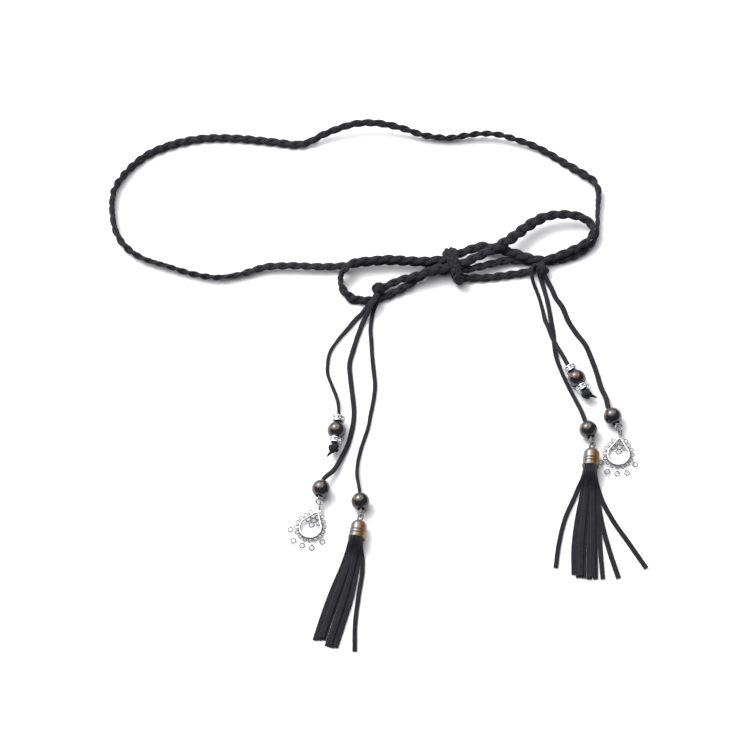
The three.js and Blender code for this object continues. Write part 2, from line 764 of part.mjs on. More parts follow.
// The pendant lies in its local XY plane, from the ring on its tip at the origin towards +Y.
const HOOP_TIP_PLACE = 2 * TIP_RING_RADIUS + PENDANT_TIP_RADIUS + (PENDANT_WIRE - TIP_RING_WIRE) / 2;
const HOOP_CENTRE_PLACE = HOOP_TIP_PLACE + PENDANT_HOOP_REACH;
const HOOP_LEAN = Math.asin((PENDANT_HOOP_RADIUS - PENDANT_TIP_RADIUS) / PENDANT_HOOP_REACH);
const SCALLOP_PLACE = PENDANT_WIRE / 2 + SCALLOP_RADIUS - SCALLOP_WIRE / 2;

// Small rings on the lower edge: angle from the bottom and distance from the hoop's middle.
const DROP_RINGS = table(
  ["angle", "reach"],
  [
    [-61, 13.2],
    [-27, 14.6],
    [0, 14],
    [27, 14.6],
    [61, 13.2],
  ],
);
const PENDANT_REACH = HOOP_CENTRE_PLACE + DROP_RINGS[2].reach + DROP_RING_RADIUS;

// Place and outward angle beside the hoop, a distance along its outline from the bottom. A distance
// below zero runs up the other side. Past the round end the outline runs straight to the tip.
function besideHoop(along, offset) {
  const radius = PENDANT_HOOP_RADIUS + offset;
  const arc = radius * (Math.PI / 2 + HOOP_LEAN);
  const angle = Math.min(Math.abs(along), arc) / radius;
  const past = Math.max(0, Math.abs(along) - arc);
  const sign = Math.sign(along) || 1;
  return {
    x: sign * (radius * Math.sin(angle) - past * Math.sin(HOOP_LEAN)),
    y: HOOP_CENTRE_PLACE + radius * Math.cos(angle) - past * Math.cos(HOOP_LEAN),
    outward: sign * angle,
  };
}

function outFrom({ x, y }, angle, distance) {
  return [x + distance * Math.sin(angle), y + distance * Math.cos(angle)];
}

// Outline of the teardrop hoop at a distance outside its middle line, turned anticlockwise.
function teardrop(offset) {
  const reach = Math.PI / 2 + HOOP_LEAN;
  const round = { x: 0, y: HOOP_CENTRE_PLACE };
  const tip = { x: 0, y: HOOP_TIP_PLACE };
  const points = [];
  for (let i = 0; i <= HOOP_STEPS; i += 1) {
    const angle = THREE.MathUtils.lerp(reach, -reach, i / HOOP_STEPS);
    points.push(outFrom(round, angle, PENDANT_HOOP_RADIUS + offset));
  }
  for (let i = 0; i <= TIP_STEPS; i += 1) {
    const angle = THREE.MathUtils.lerp(-reach, reach - 2 * Math.PI, i / TIP_STEPS);
    points.push(outFrom(tip, angle, PENDANT_TIP_RADIUS + offset));
  }
  return points;
}

function circle(place, radius, sides) {
  return Array.from({ length: sides }, (_, i) => outFrom(place, (-2 * Math.PI * (i + 0.5)) / sides, radius));
}

function flatPlate(outline, holes, thickness) {
  const shape = polygon(outline);
  for (const hole of holes) {
    shape.holes.push(new THREE.Path(hole.map(([x, y]) => new THREE.Vector2(x, y))));
  }
  const plate = new THREE.ExtrudeGeometry(shape, { depth: thickness, bevelEnabled: false });
  plate.translate(0, 0, -thickness / 2);
  return plate;
}

function flatRing(place, radius, wire, sides) {
  const inside = circle(place, radius - wire / 2, sides);
  return flatPlate(circle(place, radius + wire / 2, sides), [inside], PENDANT_THICKNESS);
}

// The border of scallops round the hoop, each pierced by an eyelet.
function scallopBorder() {
  const side = PENDANT_HOOP_REACH * Math.cos(HOOP_LEAN);
  const arc = (PENDANT_HOOP_RADIUS + SCALLOP_PLACE) * (Math.PI / 2 + HOOP_LEAN);
  const most = Math.floor((arc + side) / SCALLOP_PITCH);
  const outline = [];
  const eyelets = [];
  for (let i = most; i >= -most; i -= 1) {
    const place = besideHoop(i * SCALLOP_PITCH, SCALLOP_PLACE);
    for (const spread of [SCALLOP_SPREAD, 0, -SCALLOP_SPREAD]) {
      outline.push(outFrom(place, place.outward + spread, SCALLOP_RADIUS));
    }
    eyelets.push(circle(place, SCALLOP_RADIUS - SCALLOP_WIRE, EYELET_SIDES));
  }
  const shoulder = HOOP_TIP_PLACE - PENDANT_TIP_RADIUS - PENDANT_WIRE / 2;
  outline.push([-PENDANT_TIP_RADIUS / 2, shoulder], [PENDANT_TIP_RADIUS / 2, shoulder]);
  return flatPlate(outline, [teardrop(0), ...eyelets], PENDANT_THICKNESS);
}

// Little rings inside the top of the hoop, in shares of the hoop's radius from its middle.
const CLUSTER = table(
  ["side", "back", "radius"],
  [
    [-0.52, 0.72, 0.24],
    [0, 0.78, 0.24],
    [0.52, 0.72, 0.24],
    [-0.25, 1.2, 0.24],
    [0.25, 1.2, 0.24],
    [0, 0.3, 0.24],
  ],
);

function pendantGeometry() {
  const hoop = flatPlate(
    teardrop(PENDANT_WIRE / 2),
    [teardrop(-PENDANT_WIRE / 2)],
    PENDANT_THICKNESS + PENDANT_HOOP_RISE,
  );
  const pieces = [scallopBorder(), hoop];
  pieces.push(flatRing({ x: 0, y: TIP_RING_RADIUS }, TIP_RING_RADIUS, TIP_RING_WIRE, FLAT_RING_SIDES));
  for (const row of DROP_RINGS) {
    const angle = radians(row.angle);
    const [x, y] = outFrom({ x: 0, y: HOOP_CENTRE_PLACE }, angle, row.reach);
    const ringRadius = DROP_RING_RADIUS - DROP_RING_WIRE / 2;
    pieces.push(flatRing({ x, y }, ringRadius, DROP_RING_WIRE, FLAT_RING_SIDES));
    const near = PENDANT_HOOP_RADIUS + SCALLOP_PLACE;
    const far = row.reach - DROP_RING_RADIUS + DROP_RING_WIRE / 2;
    const stalk = new THREE.BoxGeometry(DROP_RING_WIRE, far - near, PENDANT_WIRE - CLEARANCE);
    stalk.translate(0, (near + far) / 2, 0);
    stalk.rotateZ(-angle);
    stalk.translate(0, HOOP_CENTRE_PLACE, 0);
    pieces.push(stalk);
  }
  for (const { side, back, radius } of CLUSTER) {
    const place = { x: side * PENDANT_HOOP_RADIUS, y: HOOP_CENTRE_PLACE - back * PENDANT_HOOP_RADIUS };
    pieces.push(flatRing(place, radius * PENDANT_HOOP_RADIUS, CLUSTER_WIRE, CURL_SIDES));
  }
  return fuse(pieces);
}

// Knots are lumps with a band round them, cut back from every braid and lace that runs into them.
function bowKnotGeometry(cutters) {
  const core = new THREE.SphereGeometry(1, KNOT_SIDES, KNOT_ARCS);
  core.scale(BOW_CORE.across, BOW_CORE.along, BOW_CORE.up);
  const half = BOW_WRAP.width / 2;
  const inside = 1 - BOW_WRAP.wall;
  const bevel = BOW_WRAP.wall / 2;
  const profile = [
    [inside, -half],
    [1 - bevel, -half],
    [1, -half / 2],
    [1, half / 2],
    [1 - bevel, half],
    [inside, half],
    [inside, -half],
  ].map(([radius, y]) => new THREE.Vector2(radius, y));
  const wrap = new THREE.LatheGeometry(profile, BOW_WRAP_SIDES);
  wrap.rotateZ(-Math.PI / 2);
  wrap.scale(1, BOW_WRAP.along, BOW_WRAP.up);
  const knot = fuse([core, wrap]);
  knot.rotateZ(radians(BOW_WRAP.turn));
  knot.translate(BOW_KNOT_PLACE.x, BOW_KNOT_PLACE.y, BOW_WRAP.up);
  return carve(knot, cutters);
}

function endKnotGeometry({ x, y, across, along, up, turn }, cutters) {
  const lump = new THREE.SphereGeometry(1, KNOT_SIDES, KNOT_ARCS);
  lump.scale(across, along, up);
  const wrap = new THREE.TorusGeometry(END_WRAP.reach, END_WRAP.wire, WIRE_SIDES, KNOT_WRAP_SIDES);
  wrap.rotateX(radians(90));
  wrap.scale(across, along * END_WRAP.reach, up);
  wrap.rotateZ(radians(turn));
  const lifted = up * (END_WRAP.reach + END_WRAP.wire);
  const knot = fuse([lump, wrap]);
  knot.translate(x, y, lifted);
  return carve(knot, cutters);
}

// Assembly
const BRAIDS = {
  waist_braid: WAIST_ROUTE,
  bow_loop_left: BOW_LEFT_ROUTE,
  bow_loop_right: BOW_RIGHT_ROUTE,
  tail_braid_left: TAIL_LEFT_ROUTE,
  tail_braid_right: TAIL_RIGHT_ROUTE,
};
for (const [name, route] of Object.entries(BRAIDS)) {
  addPiece(contents, name, braidStretch(route), suede);
}

const grownBraids = Object.values(BRAIDS).map((route) => braidStretch(route, CLEARANCE));
const grownLaces = LACE_ENDS.map((end) => laceStrip(end, CLEARANCE));
addPiece(contents, "bow_knot", bowKnotGeometry(grownBraids), suede);
const endKnotCutters = [...grownBraids, ...grownLaces];
addPiece(contents, "end_knot_left", endKnotGeometry(END_KNOT_LEFT, endKnotCutters), suede);
addPiece(contents, "end_knot_right", endKnotGeometry(END_KNOT_RIGHT, endKnotCutters), suede);

// A lace that holds a ring ends in an eye, a small loop standing on edge in its bead's bore.
function laceGeometry(end) {
  const strip = laceStrip(end);
  if (end.end === "stopper") return strip;
  const eye = new THREE.TorusGeometry(EYE_RADIUS, EYE_WIRE / 2, WIRE_SIDES, RING_SIDES);
  eye.rotateY(Math.PI / 2);
  eye.rotateZ(radians(end.heading - 90));
  const place = forwardOf(end.heading).multiplyScalar(EYE_PLACE);
  eye.translate(end.x + place.x, end.y + place.y, BEAD_RADIUS);
  return fuse([strip, eye]);
}

// Each ring's wire passes through the one before, a wire and a clearance short of its far side.
const LINK_GAP = RING_WIRE + CLEARANCE;
function hangRings(end, number) {
  const point = new THREE.Vector3(end.x, end.y, BEAD_RADIUS);
  point.addScaledVector(forwardOf(end.heading), EYE_PLACE);
  end.rings.forEach((ring, i) => {
    const group = turnedGroup(point, ring);
    addPiece(group, `jump_ring_${number + i}`, ringGeometry(), silver);
    point.addScaledVector(forwardOf(ring.heading, ring.dip), 2 * RING_RADIUS - LINK_GAP);
  });
  return point;
}

let ringNumber = 1;
for (const end of LACE_ENDS) {
  addPiece(contents, `lace_${end.name}`, laceGeometry(end), suede);
  const centre = new THREE.Vector3(end.x, end.y, BEAD_RADIUS);
  const bead = turnedGroup(centre, end);
  addPiece(bead, `bead_${end.name}`, beadGeometry(), horn);
  if (end.end === "stopper") {
    for (const [word, sign] of [["upper", -1], ["lower", 1]]) {
      const spacer = addPiece(bead, `spacer_${end.name}_${word}`, spacerGeometry(), silver);
      spacer.position.y = sign * SPACER_PLACE;
    }
    const knot = addPiece(bead, `stopper_knot_${end.name}`, stopperGeometry(end.tipTurn), suede);
    knot.position.y = STOPPER_PLACE;
    continue;
  }
  const point = hangRings(end, ringNumber);
  ringNumber += end.rings.length;
  if (end.end === "pendant") {
    const dip = THREE.MathUtils.radToDeg(Math.asin((point.z - PENDANT_THICKNESS) / PENDANT_REACH));
    const group = turnedGroup(point, { heading: end.endHeading, dip });
    addPiece(group, end.drop, pendantGeometry(), silver);
  } else {
    const mouth = point.clone().addScaledVector(forwardOf(end.endHeading), CAP_REACH);
    mouth.z = CAP_HEIGHT;
    const group = turnedGroup(mouth, { heading: end.endHeading });
    addPiece(group, `cap_${end.drop}`, capGeometry(), bronze);
    addPiece(group, end.drop, tasselGeometry(TASSEL_STRIPS[end.drop]), suede);
  }
}

// The origin is the middle of the belt's box, on the table.
belt.updateMatrixWorld(true);
const box = new THREE.Box3().setFromObject(contents, true);
const middle = box.getCenter(new THREE.Vector3());
contents.position.set(-middle.x, -middle.y, -box.min.z);

export default belt;
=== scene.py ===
"""A braided suede tassel belt, tied in a bow and laid on a pale table.

Sizes of the pieces are in millimetres in the belt's own plan: X to the right, Y away from the tassels
and Z up off the table. Each piece is moved into the frame and turned to metres when it is finished.
"""

import logging
import math
from bisect import bisect_right
from dataclasses import dataclass, field
from enum import Enum
from typing import Callable, Sequence

import bmesh
import bpy
from mathutils import Matrix, Vector, noise


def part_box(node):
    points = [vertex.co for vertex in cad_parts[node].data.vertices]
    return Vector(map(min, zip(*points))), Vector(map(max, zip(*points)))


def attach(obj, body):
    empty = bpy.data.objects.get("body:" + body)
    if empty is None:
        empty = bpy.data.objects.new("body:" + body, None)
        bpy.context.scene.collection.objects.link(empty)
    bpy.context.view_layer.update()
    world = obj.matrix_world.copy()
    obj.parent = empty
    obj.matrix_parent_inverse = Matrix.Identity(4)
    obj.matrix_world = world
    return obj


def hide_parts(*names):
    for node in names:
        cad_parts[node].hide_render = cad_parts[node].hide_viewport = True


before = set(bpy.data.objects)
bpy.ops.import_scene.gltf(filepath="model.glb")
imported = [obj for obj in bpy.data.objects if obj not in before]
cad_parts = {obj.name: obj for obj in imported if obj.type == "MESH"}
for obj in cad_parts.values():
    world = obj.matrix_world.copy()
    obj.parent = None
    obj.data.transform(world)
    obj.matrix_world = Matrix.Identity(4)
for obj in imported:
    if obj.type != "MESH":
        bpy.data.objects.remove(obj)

logging.basicConfig(level=logging.INFO, format="%(message)s")
log = logging.getLogger("belt")

METRES = 0.001
CLEARANCE = 0.3
MERGE = 1e-5
TINY = 1e-6
UP = Vector((0.0, 0.0, 1.0))

# The number that each vertex carries: painted shade on metal (a painted highlight on the bronze cap), cut
# edges on suede, and rust on horn, more of it as painted light beside a bead's gleam.
MARK = "mark"

Rows = Sequence[Sequence[float]]
Span = tuple[float, float]
Colour = tuple[float, float, float]

# The braid's routes: place in plan, lift of its underside off the table, how many braids it lies over,
# and its turn about its own length, 0 lying flat and 90 standing on edge.
WAIST_ROUTE: Rows = (
    (48, 89, 3.3, 0, 0), (34.5, 88.5, 3, 0, 0), (21.5, 89, 3, 0, 0), (8, 89.5, 3, 0, 0),
    (-4, 89, 2.8, 0, 0), (-14, 88, 2.5, 0, 0), (-23.5, 86.5, 2.3, 0, 0), (-32.5, 86, 2.3, 0, 0),
    (-43.5, 86, 2.6, 0, 0), (-54, 86.5, 2.8, 0, 0), (-64, 86.5, 2.5, 0, 0), (-74, 86, 2, 0, 0),
    (-83.5, 83.5, 1.2, 0, 15), (-94.5, 80.5, 0.3, 0, 50), (-106, 78.5, 0.1, 0, 80), (-116, 79.5, 0, 0, 90),
    (-128, 82.5, 0, 0, 90), (-139.5, 86.5, 0.3, 0, 75), (-148.5, 89.5, 0.3, 0, 70), (-157.5, 93, 0.1, 0, 80),
    (-165.5, 98.5, 0, 0, 90), (-171.5, 105.5, 0, 0, 90), (-175.5, 114.5, 0, 0, 90), (-177, 123.5, 0, 0, 90),
    (-177.5, 132.5, 0, 0, 90), (-176, 143, 0, 0, 85), (-171.5, 151.5, 0, 0, 75), (-164.5, 160.5, 0.1, 0, 60),
    (-153.5, 170, 0.2, 0, 40), (-141.5, 176, 0.3, 0, 25), (-130, 180, 0.3, 0, 10), (-117.5, 182.5, 0.3, 0, 0),
    (-107.5, 183, 0.3, 0, 0), (-92, 182.5, 0.3, 0, 0), (-77.5, 181, 0.2, 0, 0), (-66, 179.5, 0.2, 0, 0),
    (-55.5, 178, 0.4, 0, 0), (-46.5, 179, 1, 0, 20), (-36, 184, 2.6, 0, 40), (-24.5, 188, 4.6, 0, 45),
    (-14, 190.5, 5.8, 0, 45), (-2, 191, 5.8, 0, 45), (9.5, 189.5, 4.4, 0, 55), (20, 187, 2.6, 0, 70),
    (29.5, 184, 1, 0, 80), (39.5, 182.5, 0.2, 0, 90), (48.5, 182, 0.1, 0, 90), (59.5, 183.5, 0.9, 0, 90),
    (70.5, 184.5, 1.8, 0, 90), (81.5, 183.5, 2, 0, 85), (92, 180.5, 1.4, 0, 75), (103.5, 176.5, 0.8, 0, 60),
    (114, 171, 0.3, 0, 50), (124.5, 164, 0.1, 0, 50), (136, 156, 0.1, 0, 60), (144, 150, 0, 0, 80),
    (147.5, 143.5, 0, 0, 90), (147.5, 134.5, 0, 0, 90), (147, 125.5, 0, 0, 90), (147, 117, 0, 0, 90),
    (145.5, 107, 0.1, 0, 75), (140.5, 101, 0.3, 0, 45), (132.5, 95.5, 0.5, 0, 15), (122.5, 92, 0.6, 0, 0),
    (113.5, 90.5, 0.6, 0, 0), (103.5, 90.5, 0.8, 0, 0), (93.5, 91, 1.4, 0, 0), (87.5, 91, 2, 0, 0),
    (80.5, 89, 2.8, 0, 0), (72.5, 86.5, 3.6, 0, 0), (64, 84, 4, 0, 0), (52, 81.5, 4, 0, 0),
)
BOW_LEFT_ROUTE: Rows = (
    (48, 89.8, 3.3, 1, 0), (34.5, 88.5, 3, 1, 0), (21.5, 89, 3, 1, 0), (8, 90, 3, 1, 0),
    (-4.5, 89, 2.8, 1, 0), (-14, 88, 2.6, 1, 0), (-19, 85.5, 2.4, 1, 20), (-22, 82, 2, 1, 50),
    (-24, 79, 0.8, 0.6, 75), (-24.5, 76, 0.3, 0, 90), (-24, 71.5, 0.1, 0, 85), (-21.5, 66.5, 0.1, 0, 60),
    (-16, 62.5, 0.2, 0, 30), (-9.5, 62, 0.2, 0, 10), (-2.5, 62.5, 0.2, 0, 0), (6, 65, 0.6, 0, 0),
    (14, 69, 1.4, 0, 0), (21.5, 73, 2.2, 0, 0), (28, 77.5, 2.8, 0, 0), (34.5, 81.5, 3.1, 0, 0),
    (48.5, 83.2, 3.2, 0, 0),
)
TAIL_LEFT_ROUTE: Rows = (
    (48.5, 84.2, 3.2, 1, 0), (36.5, 82, 3.1, 1, 0), (29.5, 79, 2.8, 1, 0), (22, 77, 2.7, 0.9, 0),
    (14.5, 76, 2.6, 0.2, 0), (8.5, 73.5, 2.5, 0, 0), (2.5, 70.5, 2.4, 0, 0),
)
BOW_RIGHT_ROUTE: Rows = (
    (51.5, 84, 4, 1, 0), (60, 88, 4.2, 1, 0), (68, 92, 4.4, 1, 0), (77.5, 97, 4.6, 1, 0),
    (88, 104, 5.6, 0.7, 0), (101.5, 115.5, 7, 0, 0), (111.5, 121, 7.4, 0, 0), (122, 123, 7.2, 0, 0),
    (132, 122.5, 6.4, 0, 0), (139.5, 119.5, 5, 0, 25), (143, 114.5, 3.6, 0, 60), (142.5, 108.5, 2.4, 0.5, 50),
    (137.5, 102.5, 1.2, 1, 15), (129.5, 98, 0.8, 1, 0), (120.5, 94, 0.6, 1, 0), (112, 91, 0.6, 1, 0),
    (102.5, 91.5, 0.9, 1, 0), (94, 94.5, 1.5, 0.8, 0), (85.5, 97.5, 2.6, 0.3, 0), (77.5, 99.5, 3, 0, 0),
    (70.5, 101, 3.4, 0, 0), (64.5, 99.5, 3.9, 0, 0), (58.5, 97, 4.3, 0, 0), (49.5, 92.8, 4.5, 0, 0),
)
TAIL_RIGHT_ROUTE: Rows = (
    (52.5, 78.6, 0.8, 0, 0), (64, 79, 0.5, 0, 0), (74, 79.5, 0.3, 0, 0), (84.5, 81, 0.3, 0, 0),
    (93.5, 82.3, 0.5, 0, 0), (99.5, 83.3, 0.9, 0, 0), (104.2, 84.8, 1.4, 0, 0),
)

# The laces' routes: place in plan and lift of the underside.
LACE_LEFT_1: Rows = (
    (-1.5, 64.5, 4.8), (-3, 61, 4.9), (-5.5, 58, 4.3), (-8, 55.5, 2.6), (-10.5, 53, 0.8), (-14.3, 49.3, 0),
    (-20.2, 41.7, 0), (-26.9, 33.1, 0), (-32, 24.4, 0), (-33.6, 15.5, 0), (-33.5, 8, 0), (-30.6, -1, 0.5),
    (-28, -9, 2), (-26.5, -16, 4),
)
LACE_LEFT_2: Rows = (
    (-0.5, 64.5, 6.9), (-2, 60, 6.9), (-4, 57, 6.4), (-6, 53.5, 4.4), (-8, 50, 2), (-10, 46.5, 0.4),
    (-13.5, 36.5, 0), (-16.5, 26, 0), (-19, 15.5, 0), (-18.5, 6, 0), (-17, -8, 0), (-16, -19.5, 0),
    (-16.5, -28, 0), (-18, -36.5, 0), (-20.5, -45.5, 0.2), (-24.5, -54.5, 1), (-29.5, -64.5, 2.8),
)
LACE_LEFT_3: Rows = (
    (1.5, 63.5, 4.4), (0, 61, 4.4), (-1.5, 57.5, 3.4), (-3, 54.5, 1.4), (-4, 50.5, 0.2), (-5, 41.5, 0),
    (-4.5, 32.5, 0), (-4, 22.5, 0), (-3, 11, 0), (-2, 0, 0), (-3, -11, 0), (-5, -22, 0),
    (-6.5, -31, 0), (-9, -39.5, 0), (-11.5, -48, 0), (-13.5, -58, 0.4), (-14, -67.5, 1.8), (-13, -75, 3.4),
)
LACE_RIGHT_1: Rows = (
    (104.6, 86.8, 5.4), (102.9, 84, 5.6), (102.7, 80.4, 4.6), (103.2, 77, 2.4), (104.8, 72.4, 0.4),
    (107, 66.5, 0),
    (109.5, 57, 0), (111.5, 47.5, 0.9), (113.4, 42.5, 2), (116, 34.5, 2.2), (119, 28, 2.6), (122, 22, 3.8),
)
LACE_RIGHT_2: Rows = (
    (107.6, 85.6, 2.2), (108, 81, 1), (110, 74, 0), (112.6, 64, 0), (114.5, 54, 0), (115.7, 46, 0),
    (117, 38, 0), (117.5, 29.5, 0), (119, 20, 0), (122.4, 9.7, 0), (126.6, -0.6, 0), (131.8, -12, 0.8),
    (135.8, -21.7, 2.9),
)
LACE_RIGHT_3: Rows = (
    (109.4, 85.8, 4.4), (110.6, 81.2, 3.2), (113.4, 76, 1), (115.8, 71.6, 0.1), (118.6, 64.7, 0),
    (123, 57.8, 0),
    (126.8, 47.7, 0), (132.3, 38.2, 0), (138.1, 30, 0), (142.1, 20, 0), (146, 8, 0), (148.5, -2, 0.8),
    (152, -11.5, 3),
)

# How full a braid is plaited at distances along it, as a share of its usual width.
WAIST_FULL: Rows = (
    (0, 1.2), (14, 1.15), (26, 1), (85, 1), (92, 0.95), (160, 0.98), (205, 1), (222, 1.22), (262, 1.24),
    (285, 1.04),
    (400, 1.03), (412, 0.9), (485, 0.96), (500, 1.06), (520, 1.04), (540, 0.96), (585, 0.95), (602, 1.12),
    (612, 1.22), (625, 1.22),
    (640, 0.97), (750, 1),
)
BOW_LEFT_FULL: Rows = (
    (0, 1.2), (14, 1.1), (26, 1), (68, 1), (75, 1.25), (97, 1.2), (110, 1), (150, 1), (162, 1.2), (180, 1.25),
)
BOW_RIGHT_FULL: Rows = (
    (0, 1.1), (20, 1.2), (32, 1.42), (64, 1.42), (74, 1.2), (100, 1.1), (120, 1), (150, 1), (160, 1.25),
    (190, 1.3), (205, 1.1), (230, 1.1),
)
TAIL_LEFT_FULL: Rows = ((0, 1.3), (14, 1.2), (28, 1), (60, 1))

# Strips of each tassel: side places at the mouth, a quarter, a half and three quarters of the reach and
# at the end, the reach, and the layer.
TASSEL_LEFT_STRIPS: Rows = (
    (3.6, 6, 9.7, 12.5, 14.6, 76, 0), (2.4, 4.2, 7, 9.6, 12, 75.5, 0), (1, 2.2, 4.2, 6.6, 9, 75, 0),
    (-0.6, 0.2, 1.4, 3.4, 6, 79, 0), (-2, -1.8, -1.4, 0.4, 3, 79.5, 0), (-3, -3.9, -4, -2.2, 0, 79, 0),
    (-3.6, -7.6, -8.4, -9.7, -12.9, 79.5, 0), (1.6, 3, 5.6, 8.2, 10.6, 74, 1),
    (-1, -0.6, 0.4, 2.4, 4.6, 78, 1),
)
TASSEL_RIGHT_STRIPS: Rows = (
    (3.6, 8, 13.6, 16.2, 16.9, 74, 0), (2.6, 4, 5.7, 6.1, 4.4, 78, 0), (1.3, 1.8, 2.4, 2.6, 1.4, 80, 0),
    (0, -0.3, -0.6, -1, -2.4, 80, 0), (-1.3, -2.3, -3.5, -4.5, -6, 80.5, 0),
    (-2.4, -4.2, -6.6, -8.3, -10.3, 80, 0),
    (-3, -5.4, -8.8, -11.8, -15, 79.5, 0), (-3.6, -6.4, -11, -17.6, -25.3, 78, 0),
    (-3.6, -7.6, -17, -30, -43, 69, 0), (0.8, 1.2, 1.6, 1.2, 0, 79, 1), (-1.6, -3, -5, -6.6, -8, 79, 1),
)


class Slot(Enum):
    """The record's material slots."""

    SUEDE = "suede"
    HORN = "horn"
    SILVER = "silver"
    BRONZE = "bronze"


class End(Enum):
    """What a lace ends in."""

    STOPPER = "knot"
    PENDANT = "pendant"
    TASSEL = "tassel"


def smoothstep(value: float, low: float, high: float) -> float:
    """A smooth step from 0 at low to 1 at high."""
    share = min(max((value - low) / (high - low), 0.0), 1.0)
    return share * share * (3 - 2 * share)


def level_at(rows: Rows, place: float) -> float:
    """The value at a place in a table, straight between its rows.

    Args:
        rows: places and values, in order.
        place: the place that is asked for.

    Returns:
        The value there, held at the last row's.
    """
    for (before, low), (after, high) in zip(rows, rows[1:]):
        if place <= after:
            return low + (high - low) * max(place - before, 0.0) / max(after - before, TINY)
    return rows[-1][1]


def forward_of(heading: float, dip: float = 0.0) -> Vector:
    """The way that a heading points.

    Args:
        heading: degrees from +X.
        dip: degrees below the level.

    Returns:
        The direction, of length 1.
    """
    way, fall = math.radians(heading), math.radians(dip)
    return Vector((math.cos(fall) * math.cos(way), math.cos(fall) * math.sin(way), -math.sin(fall)))


def outward(angle: float) -> Vector:
    """The level direction at an angle in radians from +Y towards +X."""
    return Vector((math.sin(angle), math.cos(angle), 0))


def about(axis: str, degrees: float) -> Matrix:
    """A turn about a local axis."""
    return Matrix.Rotation(math.radians(degrees), 4, axis)


def turned(point: Vector, heading: float, dip: float = 0.0, roll: float = 0.0) -> Matrix:
    """A place whose local Y runs along a heading.

    Args:
        point: the local origin.
        heading: degrees from +X.
        dip: degrees that Y points down.
        roll: degrees about Y.

    Returns:
        The matrix from local to plan.
    """
    return Matrix.Translation(point) @ about("Z", heading - 90) @ about("X", -dip) @ about("Y", roll)


@dataclass
class Station:
    """A place on a route, with the ways that its side and its upper face point."""

    place: Vector
    side: Vector
    up: Vector
    ahead: Vector

    def at(self, across: float, rise: float) -> Vector:
        """A point beside this place."""
        return self.place + self.side * across + self.up * rise


class Route:
    """A smooth centripetal curve through points, with a turn about its own length."""

    SAMPLES = 24
    PATH_STEP = 6.0

    def __init__(self, points: Sequence[Vector], turns: Sequence[float] | None = None) -> None:
        """Samples the curve.

        Args:
            points: the points that it passes through.
            turns: degrees of turn at each point, or None.
        """
        self.turns = list(turns) if turns else [0.0] * len(points)
        ghosts = [points[0] * 2 - points[1], *points, points[-1] * 2 - points[-2]]
        self.places: list[Vector] = []
        self.twists: list[float] = []
        for i in range(len(points) - 1):
            last = i == len(points) - 2
            for k in range(self.SAMPLES + (1 if last else 0)):
                share = k / self.SAMPLES
                self.places.append(self._span(ghosts[i : i + 4], share))
                self.twists.append(self.turns[i] + (self.turns[i + 1] - self.turns[i]) * share)
        self.marks = [0.0]
        for before, after in zip(self.places, self.places[1:]):
            self.marks.append(self.marks[-1] + (after - before).length)

    @property
    def length(self) -> float:
        """The curve's length."""
        return self.marks[-1]

    @staticmethod
    def _span(four: Sequence[Vector], share: float) -> Vector:
        """A point between the middle two of four points.

        Args:
            four: the points.
            share: how far it is from the second to the third.

        Returns:
            The point.
        """
        gaps = [max((b - a).length, TINY) ** 0.5 for a, b in zip(four, four[1:])]
        p0, p1, p2, p3 = four
        first = (p1 - p0) / gaps[0] - (p2 - p0) / (gaps[0] + gaps[1]) + (p2 - p1) / gaps[1]
        second = (p2 - p1) / gaps[1] - (p3 - p1) / (gaps[1] + gaps[2]) + (p3 - p2) / gaps[2]
        first, second = first * gaps[1], second * gaps[1]
        square = share * share
        cube = square * share
        return (
            p1 * (2 * cube - 3 * square + 1)
            + p2 * (3 * square - 2 * cube)
            + first * (cube - 2 * square + share)
            + second * (cube - square)
        )

    def station(self, distance: float) -> Station:
        """The place and ways at a distance along the curve.

        Args:
            distance: from the curve's start.

        Returns:
            The station there.
        """
        distance = min(max(distance, 0.0), self.length)
        i = min(bisect_right(self.marks, distance) - 1, len(self.places) - 2)
        share = (distance - self.marks[i]) / max(self.marks[i + 1] - self.marks[i], TINY)
        place = self.places[i].lerp(self.places[i + 1], share)
        before = self.places[max(i - 1, 0)]
        after = self.places[min(i + 2, len(self.places) - 1)]
        ahead = (after - before).normalized()
        level = UP.cross(ahead).normalized()
        rise = ahead.cross(level)
        turn = math.radians(self.twists[i] + (self.twists[i + 1] - self.twists[i]) * share)
        side = level * math.cos(turn) + rise * math.sin(turn)
        up = rise * math.cos(turn) - level * math.sin(turn)
        return Station(place, side, up, ahead)

    def stations(self, step: float) -> list[Station]:
        """Stations about a step apart, both ends among them."""
        count = max(2, round(self.length / step))
        return [self.station(self.length * i / count) for i in range(count + 1)]

    def path(self) -> list[Vector]:
        """Points along the curve, in metres in the frame."""
        return [(p.place + Belt.shift) * METRES for p in self.stations(self.PATH_STEP)]


@dataclass(frozen=True)
class Section:
    """A rounded flat section of a strip."""

    width: float
    thickness: float
    points: int = 10
    squareness: float = 3.0

    def outline(self) -> list[tuple[float, float]]:
        """Works out the section's outline.

        Returns:
            Points round it, anticlockwise from its right side.
        """
        found = []
        for i in range(self.points):
            angle = 2 * math.pi * i / self.points
            cos, sin = math.cos(angle), math.sin(angle)
            across = math.copysign(abs(cos) ** (2 / self.squareness), cos) * self.width / 2
            rise = math.copysign(abs(sin) ** (2 / self.squareness), sin) * self.thickness / 2
            found.append((across, rise))
        return found


